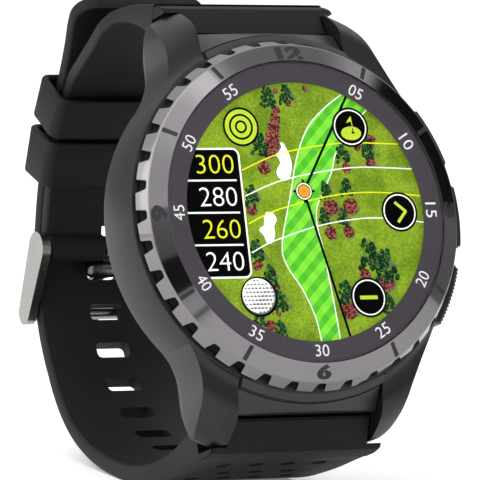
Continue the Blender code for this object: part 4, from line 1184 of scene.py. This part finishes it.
# ---------------------------------------------------------------- buckle
def make_buckle():
    """Two side plates, round about the bar and at the foot, joined by a rod."""
    axis = Vector(BUCKLE_FOOT) - Vector(BUCKLE_BAR)
    heading = math.degrees(math.atan2(axis.y, axis.x))
    open_angle = math.degrees(math.acos((BUCKLE_HEAD_R - BUCKLE_FOOT_R) / axis.length))
    outline = arc(BUCKLE_FOOT, BUCKLE_FOOT_R, heading - open_angle, heading + open_angle, 16)
    outline += arc(BUCKLE_BAR, BUCKLE_HEAD_R, heading + open_angle, heading + 360.0 - open_angle, 28)
    plates = bmesh.new()
    for side in (1.0, -1.0):
        add_sections(plates, [[(side * x, y, z) for y, z in outline] for x in (10.8, 12.1)])
    rims = [e for e in plates.edges if e.calc_face_angle(0.0) > 1.0]
    bmesh.ops.bevel(plates, geom=rims, offset=0.5, segments=4, affect="EDGES")
    frame_obj = raw_object("buckle_frame_steel", plates)
    carve(frame_obj, [lathe(cylinder(0.95, -11.5, 11.5), 32, along_x(*BUCKLE_END))], "UNION")
    holes = bmesh.new()
    for side in (1.0, -1.0):
        add_lathe(holes, cylinder(0.6, side * 10.3, side * 11.8), 16, along_x(*BUCKLE_BAR))
    carve(frame_obj, [holes])
    place(frame_obj, STEEL, body="buckle_frame", slot="bright_steel", replaces=["buckle_frame"], sharp=40.0)


def make_tongue():
    """A tapering steel strip from a rolled root on the bar, through a slot and over the frame's rod."""
    y, z = BUCKLE_BAR
    middle = [(y - 1.2, z - 0.9), (5.9, -63.8), (5.28, -65.0), (5.32, -66.3), (5.28, -67.4), (4.85, -68.6),
              (3.7, -69.7), (1.9, -70.4), (0.1, -70.65), (-1.5, -70.45)]
    path = smooth_line(middle, 5)
    sections = []
    for i, (y, z) in enumerate(path):
        before = Vector(path[max(i - 1, 0)])
        after = Vector(path[min(i + 1, len(path) - 1)])
        along = (after - before).normalized()
        share = i / (len(path) - 1)
        ring = round_section(1.15 - 0.25 * share, 0.55 - 0.15 * share, 0.3)
        sections.append([(x, y + along.y * d, z - along.x * d) for x, d in ring])
    tongue = raw_object("buckle_tongue_steel", solid(sections))
    roll = [(0.0, -1.3), (1.5, -1.3), (1.7, -1.1), (1.7, 1.1), (1.5, 1.3), (0.0, 1.3)]
    dome = [(0.0, -3.9)] + [(1.2 * math.sin(a), -2.7 - 1.2 * math.cos(a)) for a in (0.35, 0.7, 1.05, 1.4)]
    root = dome + [(r, -x) for r, x in reversed(dome)]
    knuckles = [lathe(roll, 28, along_x(*BUCKLE_BAR)), lathe(root, 32, along_x(*TONGUE_ROOT))]
    carve(tongue, knuckles, "UNION")
    carve(tongue, [x_bore(*BUCKLE_BAR, 1.0)])
    place(tongue, SHADED_TONGUE_STEEL, body="buckle_tongue", slot="bright_steel", replaces=["buckle_tongue"],
          sharp=40.0)


# ---------------------------------------------------------------- pushers
def pusher_cap(knurled):
    """Three o'clock cap: a curved bar with eased ends and edges, ribbed if knurled."""
    outer_r, inner_r, half_length = 26.15, 23.8, 4.7
    half = math.degrees(math.asin(half_length / outer_r))
    count = 34 if knurled else 16
    outline = []
    for i in range(count + 1):
        t = -half + 2.0 * half * i / count
        drop = 0.22 if knurled and i % 2 and 0 < i < count else 0.0
        end_ease = max(0.0, abs(t) / half - 0.86) / 0.14
        radius = outer_r - drop - 0.75 * end_ease ** 2
        outline.append((radius * math.cos(math.radians(t)), radius * math.sin(math.radians(t))))
    inner = math.degrees(math.asin(half_length / inner_r))
    outline += arc((0.0, 0.0), inner_r, inner, -inner, 10)
    levels = ((-8.7, 0.5), (-8.55, 0.2), (-8.25, 0.0), (-4.75, 0.0), (-4.45, 0.2), (-4.3, 0.5))
    return solid([[(x - pull if x > 24.4 else x, y, z) for x, y in outline] for z, pull in levels])


def make_pushers():
    well = cylinder(1.95, 23.0, 24.6)
    stem = [(0.0, 19.35), (0.8, 19.35), (0.8, 19.55), (0.55, 19.55), (0.55, 19.9), (0.8, 19.9),
            (0.8, 24.9), (0.0, 24.9)]
    for name, angle in PUSHER_ANGLES.items():
        cap = raw_object("pusher_" + name, pusher_cap(name == "lower"))
        cap.data.transform(about_z(angle))
        carve(cap, [lathe(well, 28, radial(angle, PUSHER_Z))])
        carve(cap, [lathe(stem, 28, radial(angle, PUSHER_Z))], "UNION")
        place(cap, BUTTON, body=name + "_pusher", slot="button_black", replaces=["button_" + name],
              sharp=25.0)


# ---------------------------------------------------------------- CAD pieces that stay
def finish_cad_nodes():
    """Finishes by the start of a node's name."""
    looks = {
        "front_gasket": SEAL, "back_gasket": SEAL, "button_seal": SEAL, "inner_frame": PLASTIC,
        "main_board": BOARD, "gnss_antenna": CERAMIC, "battery": FOIL, "shield_can": TIN, "switch": TIN,
        "vibration_motor": TIN, "vibration_weight": TUNGSTEN, "case_back": BACK_STEEL,
        "back_screw": STEEL, "button_clip": STEEL, "button_spring": STEEL, "lug_bar": STEEL,
        "buckle_bar": STEEL, "charge_contact": GOLD,
    }
    for name, obj in frame["nodes"].items():
        for start, mat in looks.items():
            if name.startswith(start):
                obj.data.materials.clear()
                obj.data.materials.append(mat)


# ---------------------------------------------------------------- stage
def make_floor():
    corners = [(-FLOOR_HALF, -FLOOR_HALF), (FLOOR_HALF, -FLOOR_HALF), (FLOOR_HALF, FLOOR_HALF),
               (-FLOOR_HALF, FLOOR_HALF)]
    mesh = bpy.data.meshes.new("floor")
    mesh.from_pydata([(x, y, 0.0) for x, y in corners], [], [(0, 1, 2, 3)])
    floor = bpy.data.objects.new("floor", mesh)
    bpy.context.scene.collection.objects.link(floor)
    mesh.materials.append(surface("floor_pale", (0.92, 0.92, 0.92), 0.6, vary=0.01, Emission_Strength=0.2))


def make_key_light():
    """One large soft lamp above and to the left."""
    data = bpy.data.lights.new("key", "AREA")
    data.energy = KEY_POWER
    data.size = KEY_SIZE
    light = bpy.data.objects.new("key", data)
    bpy.context.scene.collection.objects.link(light)
    light.location = WATCH @ Vector(KEY_PLACE)
    aim = WATCH @ Vector(KEY_AIM) - light.location
    light.rotation_euler = aim.to_track_quat("-Z", "Y").to_euler()


def make_world():
    """Studio surroundings: bright overhead, soft boxes, and dark flags where gloss should die."""
    world = bpy.data.worlds.new("studio")
    bpy.context.scene.world = world
    n = Nodes(world)
    looking = n.add("TexCoord").outputs["Generated"]

    def towards(direction, span, low, high):
        """A factor that goes from low to high as the look nears a direction."""
        cosine = n.dot(looking, Vector(direction).normalized())
        return n.spread(cosine, span, low, high, "SMOOTHSTEP")

    light = towards((0.0, 0.0, 1.0), (0.1, 0.95), 0.32, 1.35)
    for direction, near, far, strength in SOFT_BOXES:
        light = n.math("ADD", light, towards(direction, (far, near), 0.0, strength))
    for direction, near, far, strength in FLAGS:
        light = n.math("MULTIPLY", light, towards(direction, (far, near), 1.0, strength))
    back = n.tree.nodes["Background"]
    n.feed(light, back.inputs["Strength"])
    n.feed((1.0, 1.0, 1.0), back.inputs["Color"])


def make_camera():
    data = bpy.data.cameras.new("camera")
    data.sensor_width = 36.0
    data.lens = CAMERA_LENS
    data.clip_start = 0.01
    data.clip_end = 20.0
    camera = bpy.data.objects.new("camera", data)
    bpy.context.scene.collection.objects.link(camera)
    eye = Vector(CAMERA_EYE)
    back = (eye - Vector(CAMERA_AIM)).normalized()
    level = Vector((0.0, 1.0, 0.0)).cross(back).normalized()
    right = Matrix.Rotation(math.radians(CAMERA_ROLL), 3, back) @ level
    pose = Matrix((right, back.cross(right), back)).transposed().to_4x4()
    turn = WATCH.to_3x3().normalized().to_4x4()
    camera.matrix_world = Matrix.Translation(WATCH @ eye) @ turn @ pose
    bpy.context.scene.camera = camera


make_map()
make_distance_box()
make_icons()
make_minute_ring()
make_cover_glass()
make_bezel()
make_bezel_marks()
make_case()
make_end_covers()
make_long_strap()
make_short_strap()
make_keeper("keeper_fixed", (18.3, -59.75), (24.0, -55.85), "watch")
make_keeper("keeper_free", (24.95, -55.1), (29.5, -50.8), "free_keeper")
make_buckle()
make_tongue()
make_pushers()
finish_cad_nodes()
make_floor()
make_world()
make_camera()
make_key_light()

bpy.context.scene.view_settings.view_transform = "Standard"
